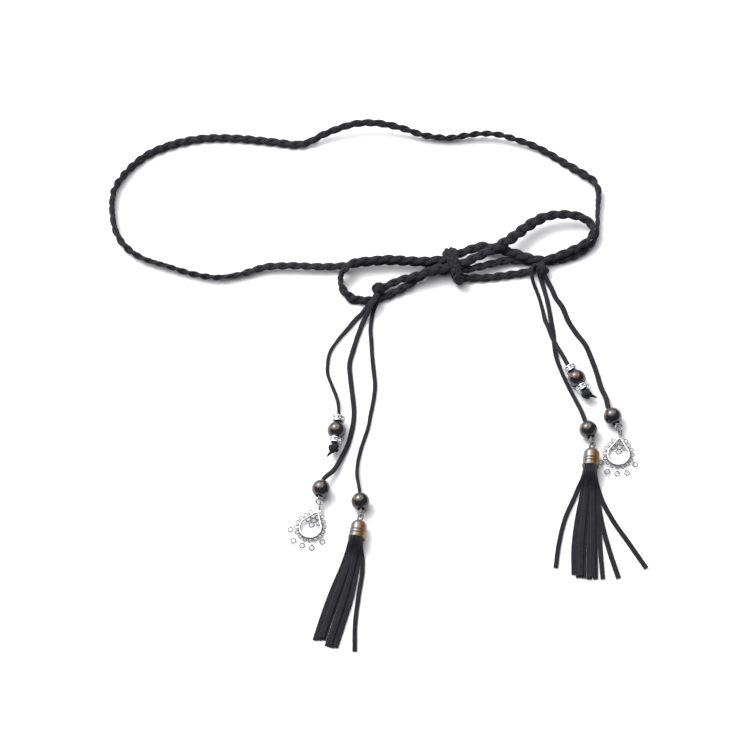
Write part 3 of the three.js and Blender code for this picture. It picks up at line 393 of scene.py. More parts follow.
class Shape:
    """A mesh that is being made, in millimetres in the belt's plan.

    SIDE_EDGE is where the mark on a strip's side edges begins and is full, as shares of its half width:
    lighter cut edges on suede, painted shade on the pendant hoop's sides. STRAYS are the scale and the share
    of each noise that a rough surface strays by. A ring's mark, painted shade on its flanks, fades over
    CREST_FADE.
    """

    SIDE_EDGE: Span = (0.86, 0.97)
    STRAYS: Rows = ((0.9, 1.0), (2.3, 0.5))
    CREST_FADE = 0.5

    def __init__(self) -> None:
        """Starts an empty mesh."""
        self.bm = bmesh.new()
        self.mark = self.bm.verts.layers.float.new(MARK)

    def strip(
        self,
        stations: Sequence[Station],
        section: Section,
        scale_at: Callable[[float], float] | None = None,
        closed: bool = False,
        rough: float = 0.0,
        edge_mark: float = 0.0,
    ) -> None:
        """Adds a strip that follows stations.

        Args:
            stations: the places along it.
            section: its section.
            scale_at: the section's scale at a share of the length.
            closed: True where the last station meets the first.
            rough: how far its surface strays, in millimetres.
            edge_mark: the mark that its two side edges carry: lighter cut edges on suede, painted shade on
                metal.
        """
        outline = section.outline()
        around, along = len(outline), len(stations) - 1
        made = bmesh.ops.create_grid(self.bm, x_segments=around, y_segments=along, size=1.0)
        verts = made["verts"]
        for vert in verts:
            i = round((vert.co.x + 1) / 2 * around)
            j = round((vert.co.y + 1) / 2 * along)
            across, rise = outline[i % around]
            size = scale_at(j / along) if scale_at else 1.0
            station = stations[j]
            point = station.at(across * size, rise * size)
            vert[self.mark] = edge_mark * smoothstep(abs(across) * 2 / section.width, *self.SIDE_EDGE)
            if rough:
                out = station.side * across + station.up * rise
                stray = sum(share * noise.noise(point * scale) for scale, share in self.STRAYS)
                point += out.normalized() * stray * rough
            vert.co = point
        bmesh.ops.remove_doubles(self.bm, verts=verts, dist=MERGE)
        if not closed:
            alive = [v for v in verts if v.is_valid]
            rims = {e for v in alive for e in v.link_edges if e.is_boundary}
            bmesh.ops.holes_fill(self.bm, edges=list(rims), sides=0)

    def turning(
        self, profile: Sequence[tuple[float, float]], place: Matrix, steps: int
    ) -> list[bmesh.types.BMVert]:
        """Adds a shape turned round its local Y.

        Args:
            profile: points as radius and Y, closed if the last is the first.
            place: where it stands.
            steps: faces round it.

        Returns:
            Its vertices.
        """
        old = set(self.bm.verts)
        verts = [self.bm.verts.new((radius, y, 0.0)) for radius, y in profile]
        if (Vector(profile[0]) - Vector(profile[-1])).length < TINY:
            self.bm.verts.remove(verts.pop())
            verts.append(verts[0])
        edges = [self.bm.edges.new(pair) for pair in zip(verts, verts[1:])]
        bmesh.ops.spin(
            self.bm,
            geom=[*dict.fromkeys(verts), *edges],
            cent=(0, 0, 0),
            axis=(0, 1, 0),
            angle=2 * math.pi,
            steps=steps,
            use_merge=True,
        )
        grown = [v for v in self.bm.verts if v not in old]
        bmesh.ops.remove_doubles(self.bm, verts=grown, dist=MERGE)
        grown = [v for v in grown if v.is_valid]
        bmesh.ops.transform(self.bm, matrix=place, verts=grown)
        return grown

    def ring(
        self,
        radius: float,
        wire: float,
        place: Matrix,
        steps: int = 28,
        sides: int = 10,
        flat: float = 1.0,
        crest: float = 0.45,
    ) -> None:
        """Adds a ring in its local XY plane, its middle at the local origin.

        Args:
            radius: of the wire's middle line.
            wire: its thickness across.
            place: where it lies.
            steps: faces round the ring.
            sides: faces round the wire.
            flat: the wire's height as a share of its width.
            crest: the share of its height above which the wire is free of painted shade.
        """
        profile = []
        for i in range(sides + 1):
            angle = 2 * math.pi * i / sides
            profile.append((radius + wire / 2 * math.cos(angle), wire / 2 * flat * math.sin(angle)))
        profile[-1] = profile[0]
        back = place.inverted()
        for vert in self.turning(profile, place @ about("X", 90), steps):
            # The wire's flanks carry the mark: painted shade that draws a dark outline.
            rise = abs((back @ vert.co).z) / (wire / 2 * flat)
            vert[self.mark] = 1 - smoothstep(rise, crest, crest + self.CREST_FADE)

    def ball(self, scale: Vector, place: Matrix, steps: int = 20, mark: float = 0.0) -> None:
        """Adds a rounded lump.

        Args:
            scale: its three half sizes.
            place: where it stands.
            steps: faces round it.
            mark: the mark that it carries.
        """
        stretch = Matrix.Diagonal((*scale, 1.0))
        made = bmesh.ops.create_uvsphere(
            self.bm, u_segments=steps, v_segments=steps * 2 // 3, radius=1.0, matrix=place @ stretch
        )
        for vert in made["verts"]:
            vert[self.mark] = mark

    def stone(
        self, radius: float, height: float, place: Matrix, table: float = 0.55, facets: int = 8
    ) -> None:
        """Adds a cut stone, its height along the local X.

        Args:
            radius: of its widest part.
            height: from there to its table.
            place: where it is set.
            table: the flat top's radius as a share of the widest.
            facets: how many sides it has.
        """
        bmesh.ops.create_cone(
            self.bm,
            cap_ends=True,
            segments=facets,
            radius1=radius,
            radius2=radius * table,
            depth=height,
            matrix=place @ about("Y", 90),
        )

    def finished(
        self, name: str, material: bpy.types.Material, smooth: float = 40.0
    ) -> bpy.types.Object:
        """Turns the mesh into an object of the belt.

        Args:
            name: the piece's name.
            material: its finish.
            smooth: the angle in degrees under which faces are shaded smooth.

        Returns:
            The object, riding on the belt.
        """
        bmesh.ops.recalc_face_normals(self.bm, faces=self.bm.faces)
        place = Matrix.Scale(METRES, 4) @ Matrix.Translation(Belt.shift)
        bmesh.ops.transform(self.bm, matrix=place, verts=self.bm.verts)
        mesh = bpy.data.meshes.new(name)
        self.bm.to_mesh(mesh)
        self.bm.free()
        mesh.materials.append(material)
        mesh.shade_smooth()
        mesh.set_sharp_from_angle(angle=math.radians(smooth))
        piece = bpy.data.objects.new(name, mesh)
        bpy.context.scene.collection.objects.link(piece)
        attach(piece, "root")
        log.info("%s: %d faces", name, len(mesh.polygons))
        return piece


class Belt:
    """What the whole belt shares."""

    shift = Vector((0.0, 0.0, 0.0))

    @classmethod
    def settle(cls, bead: Vector) -> None:
        """Finds the move from the plan into the frame, from one bead's middle in the plan."""
        low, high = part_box("bead_left_1")
        cls.shift = (low + high) / 2 / METRES - bead


Feed = bpy.types.NodeSocket | float | Sequence[float]


class Nodes:
    """A small helper that adds and joins shader nodes."""

    def __init__(self, tree: bpy.types.NodeTree) -> None:
        """Works on one tree."""
        self.tree = tree

    def add(self, kind: str, **values: object) -> bpy.types.Node:
        """Adds a node.

        Args:
            kind: its type.
            values: its properties, by name.

        Returns:
            The node.
        """
        node = self.tree.nodes.new(kind)
        for name, value in values.items():
            setattr(node, name, value)
        return node

    def join(self, start: bpy.types.NodeSocket, end: bpy.types.NodeSocket) -> None:
        """Links two sockets."""
        self.tree.links.new(start, end)

    @staticmethod
    def settle(node: bpy.types.Node, values: dict[str, float | Sequence[float]]) -> None:
        """Sets a node's sockets by their names."""
        for name, value in values.items():
            node.inputs[name].default_value = value

    def feed(self, socket: bpy.types.NodeSocket, value: Feed) -> None:
        """Gives a socket its value.

        Args:
            socket: the socket.
            value: another socket to link, a number or a colour.
        """
        if isinstance(value, bpy.types.NodeSocket):
            self.join(value, socket)
        elif isinstance(value, float):
            socket.default_value = value
        else:
            socket.default_value = (*value, 1.0)

    def noise(self, vector: bpy.types.NodeSocket, detail: float, rough: float) -> bpy.types.Node:
        """Adds a noise texture.

        Args:
            vector: what it is laid out on.
            detail: how many finer layers it has.
            rough: how strong each finer layer is.

        Returns:
            The node.
        """
        node = self.add("ShaderNodeTexNoise")
        self.join(vector, node.inputs["Vector"])
        self.settle(node, {"Detail": detail, "Roughness": rough})
        return node

    def mark(self) -> bpy.types.NodeSocket:
        """The number that each vertex carries."""
        return self.add("ShaderNodeAttribute", attribute_name=MARK).outputs["Fac"]

    def ramp(
        self, value: bpy.types.NodeSocket, low: float, high: float, bottom: float = 0.0, top: float = 1.0
    ) -> bpy.types.NodeSocket:
        """Maps a value from one range to another, held at its ends.

        Args:
            value: what is mapped.
            low: where the first range starts.
            high: where it ends.
            bottom: the result at its start.
            top: the result at its end.

        Returns:
            The result.
        """
        node = self.add("ShaderNodeMapRange")
        self.join(value, node.inputs["Value"])
        self.settle(node, {"From Min": low, "From Max": high, "To Min": bottom, "To Max": top})
        return node.outputs["Result"]

    def blend(self, mask: Feed, first: Feed, second: Feed) -> bpy.types.NodeSocket:
        """Mixes two colours.

        Args:
            mask: how much of the second shows.
            first: a colour.
            second: another colour.

        Returns:
            The mixed colour.
        """
        node = self.add("ShaderNodeMix", data_type="RGBA")
        for number, value in ((0, mask), (6, first), (7, second)):
            self.feed(node.inputs[number], value)
        return node.outputs[2]


def fine_and_coarse() -> bpy.types.NodeTree:
    """The shared effect of every finish: a fine grain and broad patches on Object coordinates.

    Returns:
        The node group, made once.
    """
    name = "fine and coarse"
    if name in bpy.data.node_groups:
        return bpy.data.node_groups[name]
    group = bpy.data.node_groups.new(name, "ShaderNodeTree")
    sockets = group.interface
    for label, value in (("Fine Scale", 2000.0), ("Coarse Scale", 200.0)):
        made = sockets.new_socket(name=label, in_out="INPUT", socket_type="NodeSocketFloat")
        made.default_value = value
    for label in ("Fine", "Coarse"):
        sockets.new_socket(name=label, in_out="OUTPUT", socket_type="NodeSocketFloat")
    nodes = Nodes(group)
    inside = nodes.add("NodeGroupInput")
    outside = nodes.add("NodeGroupOutput")
    place = nodes.add("ShaderNodeTexCoord").outputs["Object"]
    for scale, result, detail in (("Fine Scale", "Fine", 4.0), ("Coarse Scale", "Coarse", 3.0)):
        texture = nodes.noise(place, detail, rough=0.6)
        nodes.join(inside.outputs[scale], texture.inputs["Scale"])
        nodes.join(texture.outputs["Fac"], outside.inputs[result])
    return group


@dataclass(frozen=True)
class Finish:
    """A finish of the belt, as a Principled shader with the shared grain."""

    name: str
    fine_scale: float
    coarse_scale: float

    def material(self) -> bpy.types.Material:
        """Makes the finish once.

        Returns:
            The material.
        """
        if self.name in bpy.data.materials:
            return bpy.data.materials[self.name]
        made = bpy.data.materials.new(self.name)
        made.use_nodes = True
        nodes = Nodes(made.node_tree)
        shader = made.node_tree.nodes["Principled BSDF"]
        grain = nodes.add("ShaderNodeGroup", node_tree=fine_and_coarse())
        nodes.settle(grain, {"Fine Scale": self.fine_scale, "Coarse Scale": self.coarse_scale})
        self.dress(nodes, shader, grain)
        return made

    def dress(self, nodes: Nodes, shader: bpy.types.Node, grain: bpy.types.Node) -> None:
        """Wires the shader, as each finish does in its own way.

        Args:
            nodes: the material's nodes.
            shader: its Principled shader.
            grain: the shared grain.
        """

    @staticmethod
    def bump(
        nodes: Nodes, shader: bpy.types.Node, grain: bpy.types.Node, depth: float, strength: float
    ) -> None:
        """Raises the fine grain.

        Args:
            nodes: the material's nodes.
            shader: its Principled shader.
            grain: the shared grain.
            depth: the grain's height in millimetres.
            strength: how strongly it shades.
        """
        node = nodes.add("ShaderNodeBump")
        nodes.settle(node, {"Strength": strength, "Distance": depth * METRES})
        nodes.join(grain.outputs["Fine"], node.inputs["Height"])
        nodes.join(node.outputs["Normal"], shader.inputs["Normal"])


@dataclass(frozen=True)
class Suede(Finish):
    """Matte black suede with a short nap, lighter where its fibres stand and where it is cut."""

    name: str = "black suede"
    fine_scale: float = 1500.0
    coarse_scale: float = 260.0
    deep: Colour = (0.0083, 0.008, 0.0106)
    worn: Colour = (0.0205, 0.0198, 0.0258)
    cut: Colour = (0.06, 0.057, 0.063)
    patches: Span = (0.3, 0.7)
    nap: Span = (0.42, 0.64)
    nap_gain: float = 1.8
    nap_share: float = 0.5
    roughness: Span = (0.82, 0.96)
    roughness_grain: Span = (0.3, 0.7)
    specular: float = 0.25
    sheen: float = 0.05
    sheen_roughness: float = 0.5
    bump_depth: float = 0.12
    bump_strength: float = 0.6

    def dress(self, nodes: Nodes, shader: bpy.types.Node, grain: bpy.types.Node) -> None:
        """Wires the nap.

        Args:
            nodes: the material's nodes.
            shader: its Principled shader.
            grain: the shared grain.
        """
        colour = nodes.blend(nodes.ramp(grain.outputs["Coarse"], *self.patches), self.deep, self.worn)
        standing = tuple(self.nap_gain * c for c in self.worn)
        lighter = nodes.blend(nodes.ramp(grain.outputs["Fine"], *self.nap), colour, standing)
        napped = nodes.blend(self.nap_share, colour, lighter)
        nodes.join(nodes.blend(nodes.mark(), napped, self.cut), shader.inputs["Base Color"])
        rough = nodes.ramp(grain.outputs["Fine"], *self.roughness_grain, *self.roughness)
        nodes.join(rough, shader.inputs["Roughness"])
        sheen = {"Sheen Weight": self.sheen, "Sheen Roughness": self.sheen_roughness}
        nodes.settle(shader, {"Specular IOR Level": self.specular, **sheen})
        self.bump(nodes, shader, grain, self.bump_depth, self.bump_strength)


@dataclass(frozen=True)
class Horn(Finish):
    """Black horn with rust-brown clouds, under a clear polish."""

    name: str = "polished horn"
    fine_scale: float = 850.0
    coarse_scale: float = 190.0
    dark: Colour = (0.0065, 0.006, 0.0075)
    smoky: Colour = (0.014, 0.013, 0.015)
    rust: Colour = (0.21, 0.078, 0.018)
    smoke: Span = (0.35, 0.7)
    clouds: Span = (0.48, 0.6)
    roughness: Span = (0.22, 0.34)
    roughness_patches: Span = (0.3, 0.8)
    specular: float = 0.15
    coat_ior: float = 1.6
    coat_roughness: float = 0.04
    bump_depth: float = 0.02
    bump_strength: float = 0.3

    def dress(self, nodes: Nodes, shader: bpy.types.Node, grain: bpy.types.Node) -> None:
        """Wires the clouds and the polish.

        Args:
            nodes: the material's nodes.
            shader: its Principled shader.
            grain: the shared grain.
        """
        colour = nodes.blend(nodes.ramp(grain.outputs["Coarse"], *self.smoke), self.dark, self.smoky)
        lifted = nodes.add("ShaderNodeMath", operation="MULTIPLY")
        nodes.join(grain.outputs["Fine"], lifted.inputs[0])
        nodes.join(nodes.mark(), lifted.inputs[1])
        clouds = nodes.ramp(lifted.outputs[0], *self.clouds)
        nodes.join(nodes.blend(clouds, colour, self.rust), shader.inputs["Base Color"])
        rough = nodes.ramp(grain.outputs["Coarse"], *self.roughness_patches, *self.roughness)
        nodes.join(rough, shader.inputs["Roughness"])
        coat = {"Coat Weight": 1.0, "Coat IOR": self.coat_ior, "Coat Roughness": self.coat_roughness}
        nodes.settle(shader, {"Specular IOR Level": self.specular, **coat})
        self.bump(nodes, shader, grain, self.bump_depth, self.bump_strength)


@dataclass(frozen=True)
class Metal(Finish):
    """Cast and polished metal, faintly tarnished in patches; its mark paints shade, and on the bronze a
    highlight.
    """

    name: str = "bright silver"
    fine_scale: float = 1500.0
    coarse_scale: float = 350.0
    bright: Colour = (0.8, 0.8, 0.82)
    dull: Colour = (0.5, 0.5, 0.52)
    # Painted shade on wire flanks and between a spacer's flanges, also darkening solder; the bronze paints a
    # highlight here.
    painted_shade_and_highlight: Colour = (0.022, 0.022, 0.025)
    tarnish: Span = (0.4, 0.75)
    smooth: float = 0.2
    rough: float = 0.38
    roughness_patches: Span = (0.3, 0.75)
    polish: float = 0.0
    coat_roughness: float = 0.16
    metallic: float = 1.0
    painted_shade_and_highlight_metallic: float = 0.0
    bump_depth: float = 0.03
    bump_strength: float = 0.15

    def dress(self, nodes: Nodes, shader: bpy.types.Node, grain: bpy.types.Node) -> None:
        """Wires the tarnish and the mark's painted shade and highlight.

        Args:
            nodes: the material's nodes.
            shader: its Principled shader.
            grain: the shared grain.
        """
        coarse, mark = grain.outputs["Coarse"], nodes.mark()
        colour = nodes.blend(nodes.ramp(coarse, *self.tarnish), self.bright, self.dull)
        # The mark paints shade on silver and steel, and a grey highlight on the bronze.
        nodes.join(nodes.blend(mark, colour, self.painted_shade_and_highlight), shader.inputs["Base Color"])
        rough = nodes.ramp(coarse, *self.roughness_patches, self.smooth, self.rough)
        nodes.join(rough, shader.inputs["Roughness"])
        nodes.join(nodes.ramp(mark, 0, 1, self.metallic, self.painted_shade_and_highlight_metallic), shader.inputs["Metallic"])
        nodes.settle(shader, {"Coat Weight": self.polish, "Coat Roughness": self.coat_roughness})
        self.bump(nodes, shader, grain, self.bump_depth, self.bump_strength)


@dataclass(frozen=True)
class Stone(Finish):
    """Clear cut glass stones, backed with foil."""

    name: str = "clear stone"
    fine_scale: float = 900.0
    coarse_scale: float = 600.0
    shade: Colour = (0.5, 0.52, 0.54)
    glint: Colour = (0.95, 0.96, 0.97)
    patches: Span = (0.35, 0.65)
    roughness: Span = (0.04, 0.12)
    roughness_grain: Span = (0.3, 0.7)
    metallic: float = 0.6
    coat_roughness: float = 0.03

    def dress(self, nodes: Nodes, shader: bpy.types.Node, grain: bpy.types.Node) -> None:
        """Wires the foil and the glass over it.

        Args:
            nodes: the material's nodes.
            shader: its Principled shader.
            grain: the shared grain.
        """
        colour = nodes.blend(nodes.ramp(grain.outputs["Coarse"], *self.patches), self.shade, self.glint)
        nodes.join(colour, shader.inputs["Base Color"])
        rough = nodes.ramp(grain.outputs["Fine"], *self.roughness_grain, *self.roughness)
        nodes.join(rough, shader.inputs["Roughness"])
        coat = {"Coat Weight": 1.0, "Coat Roughness": self.coat_roughness}
        nodes.settle(shader, {"Metallic": self.metallic, **coat})


SUEDE = Suede()
LACE_SUEDE = Suede(
    name="black lace suede",
    deep=(0.0066, 0.0064, 0.0085),
    worn=(0.0164, 0.0158, 0.0206),
)
STRIP_SUEDE = Suede(
    name="black strip suede",
    deep=(0.004, 0.0039, 0.0053),
    worn=(0.0114, 0.011, 0.0146),
)
HORN = Horn()
SILVER = Metal()
DARK_STEEL = Metal(
    name="dark steel",
    bright=(0.1, 0.097, 0.094),
    dull=(0.05, 0.048, 0.046),
)
# The bronze's mark paints a grey highlight on the cap's side towards the light.
BRONZE = Metal(
    name="bronze brown",
    bright=(0.2, 0.1, 0.034),
    dull=(0.13, 0.062, 0.02),
    painted_shade_and_highlight=(0.15, 0.14, 0.13),
    smooth=0.28,
    rough=0.4,
    coarse_scale=300.0,
    polish=0.4,
    metallic=0.5,
    painted_shade_and_highlight_metallic=0.7,
)
STONE = Stone()


@dataclass
class Braid:
    """A stretch of three suede laces plaited flat."""

    node: str
    rows: Rows
    far_end: str = "object"
    full: Rows = ((0, 1),)
    nudge: tuple[float, float] = (0.0, 0.0)
    finish: Suede = LACE_SUEDE
    width: float = 5.4
    thickness: float = 3.2
    lobe: float = 0.35
    pitch: float = 24.0
    lace: Section = field(default_factory=lambda: Section(2.75, 1.6, points=10, squareness=2.6))
    step: float = 1.25
    lean: float = 0.45
    rough: float = 0.07

    def half_height(self, turn: float) -> float:
        """Works out how high the turned braid is.

        Args:
            turn: degrees about its length.

        Returns:
            Half of its height.
        """
        sine, cosine = abs(math.sin(math.radians(turn))), abs(math.cos(math.radians(turn)))
        edge = (self.width / 2 + self.lobe) * sine
        shoulder = self.width / 4 * sine + self.thickness / 2 * cosine
        return max(edge, shoulder)

    def route(self) -> Route:
        """Lays the braid on the table and on what it crosses.

        Returns:
            Its middle line.
        """
        stack = self.thickness + CLEARANCE
        points = [
            Vector((x + self.nudge[0], y + self.nudge[1], lift + over * stack + self.half_height(turn)))
            for x, y, lift, over, turn in self.rows
        ]
        return Route(points, [row[4] for row in self.rows])

    def strand(self, route: Route, phase: float) -> list[Station]:
        """One lace's own way through the plait.

        Args:
            route: the braid's middle line.
            phase: where the lace starts in the plait, as a share of its pitch.

        Returns:
            The lace's stations.
        """
        swing = (self.width + self.lobe - self.lace.width) / 2
        climb = (self.thickness - self.lace.thickness) / 2
        count = round(route.length / self.step)
        places, ways = [], []
        for i in range(count + 1):
            distance = route.length * i / count
            station = route.station(distance)
            angle = 2 * math.pi * (distance / self.pitch + phase)
            full = level_at(self.full, distance)
            raised = UP * (max(full - 1, 0.0) * (self.width / 2 + self.lobe) * abs(station.side.z))
            place = station.at(full * swing * math.sin(angle), full * climb * math.sin(2 * angle))
            places.append(place + raised)
            ways.append((station, angle))
        found = []
        for i, (station, angle) in enumerate(ways):
            ahead = (places[min(i + 1, count)] - places[max(i - 1, 0)]).normalized()
            lean = self.lean * math.sin(angle)
            up = station.up * math.cos(lean) + station.side * math.sin(lean)
            side = up.cross(ahead).normalized()
            found.append(Station(places[i], side, ahead.cross(side), ahead))
        return found

    def build(self) -> bpy.types.Object:
        """Returns:
            The braid's object.
        """
        route = self.route()
        shape = Shape()

        def full_at(share: float) -> float:
            """How full the braid is at a share of its length."""
            return level_at(self.full, share * route.length)

        for lace in range(3):
            shape.strip(self.strand(route, lace / 3), self.lace, full_at, rough=self.rough)
        piece = shape.finished(f"braided_{self.node}", self.finish.material(), smooth=60)
        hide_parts(self.node)
        path = route.path()
        return piece


@dataclass
class Wrap:
    """A closed band of laces plaited round a rounded lump, in the lump's own YZ plane.

    NEAR is the angle over which a lace's direction is measured, NARROWEST holds it off the lump's poles,
    and CLIMB is how far one lace rises over another, as a share of its thickness.
    """

    NEAR = 0.02
    NARROWEST = 0.05
    CLIMB = 0.5

    across: float
    along: float
    up: float
    place: Matrix
    lace: Section
    offset: float = 0.0
    swing: float = 0.0
    waves: int = 0
    strands: int = 1
    steps: int = 48
    flare: float = 0.0
    rough: float = 0.08

    def spot(self, angle: float, phase: float) -> Vector:
        """A lace's middle on the lump.

        Args:
            angle: how far round it is, from +Y.
            phase: where the lace starts in the plait.

        Returns:
            The point, local to the lump.
        """
        beat = self.waves * angle + phase
        flare = 1 + self.flare * (abs(math.cos(angle)) - 0.5)
        drift = flare * (self.offset + self.swing * math.sin(beat))
        lift = self.CLIMB * self.lace.thickness * math.sin(2 * beat) if self.waves else 0.0
        narrow = math.sqrt(max(self.NARROWEST, 1 - (drift / self.across) ** 2))
        along, up = (self.along + lift) * narrow, (self.up + lift) * narrow
        return Vector((drift, along * math.cos(angle), up * math.sin(angle)))

    def add_to(self, shape: Shape) -> None:
        """Makes the band's laces.

        Args:
            shape: what they are added to.
        """
        turn = self.place.to_3x3()
        for k in range(self.strands):
            phase = 2 * math.pi * k / self.strands
            stations = []
            for i in range(self.steps + 1):
                angle = 2 * math.pi * (i % self.steps) / self.steps
                point = self.spot(angle, phase)
                after, before = self.spot(angle + self.NEAR, phase), self.spot(angle - self.NEAR, phase)
                ahead = (after - before).normalized()
                out = Vector((point.x / self.across**2, point.y / self.along**2, point.z / self.up**2))
                side = ahead.cross(out).normalized()
                up = side.cross(ahead)
                stations.append(Station(self.place @ point, turn @ side, turn @ up, turn @ ahead))
            shape.strip(stations, self.lace, closed=True, rough=self.rough)


@dataclass
class BowKnot:
    """The knot in the bow's middle: two turns of braid wound over a lump."""

    node: str = "bow_knot"
    x: float = 51.0
    y: float = 85.5
    across: float = 4.2
    along: float = 10.4
    up: float = 4.9
    wrap_across: float = 6.6
    wrap_along: float = 13.0
    wrap_up: float = 5.6
    rise: float = 0.9
    turn: float = 18.0
    lace: Section = field(default_factory=lambda: Section(2.1, 1.3, squareness=2.4))
    windings: Rows = ((-1.6, 4.0), (1.6, -5.0))

    def build(self) -> bpy.types.Object:
        """Makes the knot.

        Returns:
            The knot's object.
        """
        shape = Shape()
        place = turned(Vector((self.x, self.y, self.wrap_up + self.rise)), 90 + self.turn)
        shape.ball(Vector((self.across, self.along, self.up)), place)
        for offset, lean in self.windings:
            Wrap(
                across=self.wrap_across,
                along=self.wrap_along,
                up=self.wrap_up,
                place=place @ about("Z", lean),
                lace=self.lace,
                offset=offset,
                swing=1.5,
                waves=5,
                strands=3,
                steps=96,
                flare=0.4,
                rough=0.3,
            ).add_to(shape)
        piece = shape.finished("bow_knot_wound", LACE_SUEDE.material(), smooth=60)
        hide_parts(self.node)
        return piece


@dataclass
class EndKnot:
    """A knot at a braid's end, where its three laces come free.

    Each winding is its turn about Z and about Y in degrees, and its size as a share of the knot's. One
    that is turned past SIDEWAYS runs along the knot instead of across it.
    """

    SIDEWAYS = 45.0

    node: str
    x: float
    y: float
    across: float
    along: float
    up: float
    turn: float
    stand: float = 1.1
    core: float = 0.96
    lace: Section = field(default_factory=lambda: Section(2.5, 1.5, squareness=2.4))
    windings: Rows = ((0, 0, 0.9), (58, 12, 0.96), (-52, -14, 0.92), (90, 40, 0.86))

    def build(self) -> bpy.types.Object:
        """Makes the knot.

        Returns:
            The knot's object.
        """
        shape = Shape()
        place = turned(Vector((self.x, self.y, self.up * self.stand)), 90 + self.turn)
        shape.ball(Vector((self.across, self.along, self.up)) * self.core, place, steps=16)
        for turn, lean, size in self.windings:
            Wrap(
                across=self.along if abs(turn) > self.SIDEWAYS else self.across,
                along=(self.across if abs(turn) > self.SIDEWAYS else self.along) * size,
                up=self.up * size,
                place=place @ about("Z", turn) @ about("Y", lean),
                lace=self.lace,
                offset=0.7,
                steps=32,
                rough=0.25,
            ).add_to(shape)
        piece = shape.finished(f"{self.node}_wound", LACE_SUEDE.material(), smooth=60)
        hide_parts(self.node)
        return piece


@dataclass
class Bead:
    """A round horn bead, bored through along its local Y.

    Its mark says how much rust shows: little all over, and more beside the gleam, between the two rings
    round it where the mark fades in and out, but not on the underside. The extra rust beside the gleam is
    painted light: the horn's clouds lit where the light falls.
    """

    node: str
    place: Matrix
    radius: float = 6.2
    bore: float = 2.4
    round_over: float = 0.35
    rows: int = 24
    gleam: Vector = field(default_factory=lambda: Vector((-0.28, 0.02, 0.96)))
    inner_ring: Span = (0.2, 0.32)
    outer_ring: Span = (0.5, 0.68)
    beside: Span = (0.6, 0.95)
    underside: float = -0.7
    little_rust: float = 0.62
    lit_rust: float = 0.5

    def build(self) -> bpy.types.Object:
        """Makes the bead.

        Returns:
            The bead's object.
        """
        rim = math.asin((self.bore + self.round_over) / self.radius)
        profile = []
        for i in range(self.rows + 1):
            angle = math.pi - rim - (math.pi - 2 * rim) * i / self.rows
            profile.append((self.radius * math.sin(angle), self.radius * math.cos(angle)))
        reach = self.radius * math.cos(rim)
        profile.append((self.bore + self.round_over * 0.3, reach - self.round_over * 0.2))
        profile.append((self.bore, reach - self.round_over))
        profile.append((self.bore, self.round_over - reach))
        profile.append((self.bore + self.round_over * 0.3, self.round_over * 0.2 - reach))
        profile.append(profile[0])
        shape = Shape()
        shape.turning(profile, self.place, 40)
        middle = self.place.translation
        for vert in shape.bm.verts:
            spot = (vert.co - middle) / self.radius - self.gleam
            away = math.hypot(spot.x, spot.y)
            beside = smoothstep(abs(spot.x) / max(away, TINY), *self.beside)
            ringed = smoothstep(away, *self.inner_ring) * (1 - smoothstep(away, *self.outer_ring))
            # Painted light: more rust shows beside the gleam, where light falls on the horn.
            more = self.lit_rust * ringed * beside if spot.z > self.underside else 0.0
            vert[shape.mark] = self.little_rust + more
        piece = shape.finished(f"polished_{self.node}", HORN.material())
        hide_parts(self.node)
        return piece


@dataclass
class Spacer:
    """A metal spacer: two milled flanges with cut stones standing between them."""

    node: str
    place: Matrix
    radius: float = 4.3
    length: float = 3.8
    bore: float = 1.9
    flange: float = 0.75
    waist: float = 2.9
    bevel: float = 0.35
    edge: float = 0.15
    inset: float = 0.1
    groove: Span = (0.02, 0.09)
    claw: Sequence[float] = (0.32, 0.42, 0.5)
    low_claw: Sequence[float] = (0.28, 0.36, 0.45)
    stones: int = 10
    stone_radius: float = 1.15
    stone_height: float = 1.2
    stone_out: float = 0.75

    def build(self) -> tuple[bpy.types.Object, bpy.types.Object]:
        """Makes the spacer's metal and its stones.

        Returns:
            The metal and the stones.
        """
        half, inside = self.length / 2, self.length / 2 - self.flange
        rim = self.radius - self.inset
        flange = [
            (self.bore, half),
            (self.radius - self.bevel, half),
            (rim, half - self.edge),
            (rim, inside + self.inset),
            (self.waist, inside),
        ]
        outline = [(radius, -y) for radius, y in flange] + flange[::-1] + [(self.bore, -half)]
        shape = Shape()
        back = self.place.inverted()
        # The waist between the flanges carries the mark: painted shade.
        for vert in shape.turning(outline, self.place, 36):
            out = abs((back @ vert.co).y) - inside
            vert[shape.mark] = 1 - smoothstep(out, *self.groove)
        stones = Shape()
        for i in range(self.stones):
            around = self.place @ Matrix.Rotation(2 * math.pi * i / self.stones, 4, "Y")
            claw = around @ Matrix.Rotation(math.pi / self.stones, 4, "Y")
            for end in (-1, 1):
                out = Matrix.Translation((self.radius - self.claw[0], end * (half - self.flange / 2), 0))
                shape.ball(Vector(self.claw), claw @ out, steps=6)
                shape.ball(Vector(self.low_claw), around @ out, steps=6)
            seat = around @ Matrix.Translation((self.waist + self.stone_out, 0, 0))
            stones.stone(self.stone_radius, self.stone_height, seat)
        metal = shape.finished(f"flanges_{self.node}", SILVER.material())
        gems = stones.finished(f"stones_{self.node}", STONE.material(), smooth=10)
        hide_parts(self.node)
        return metal, gems


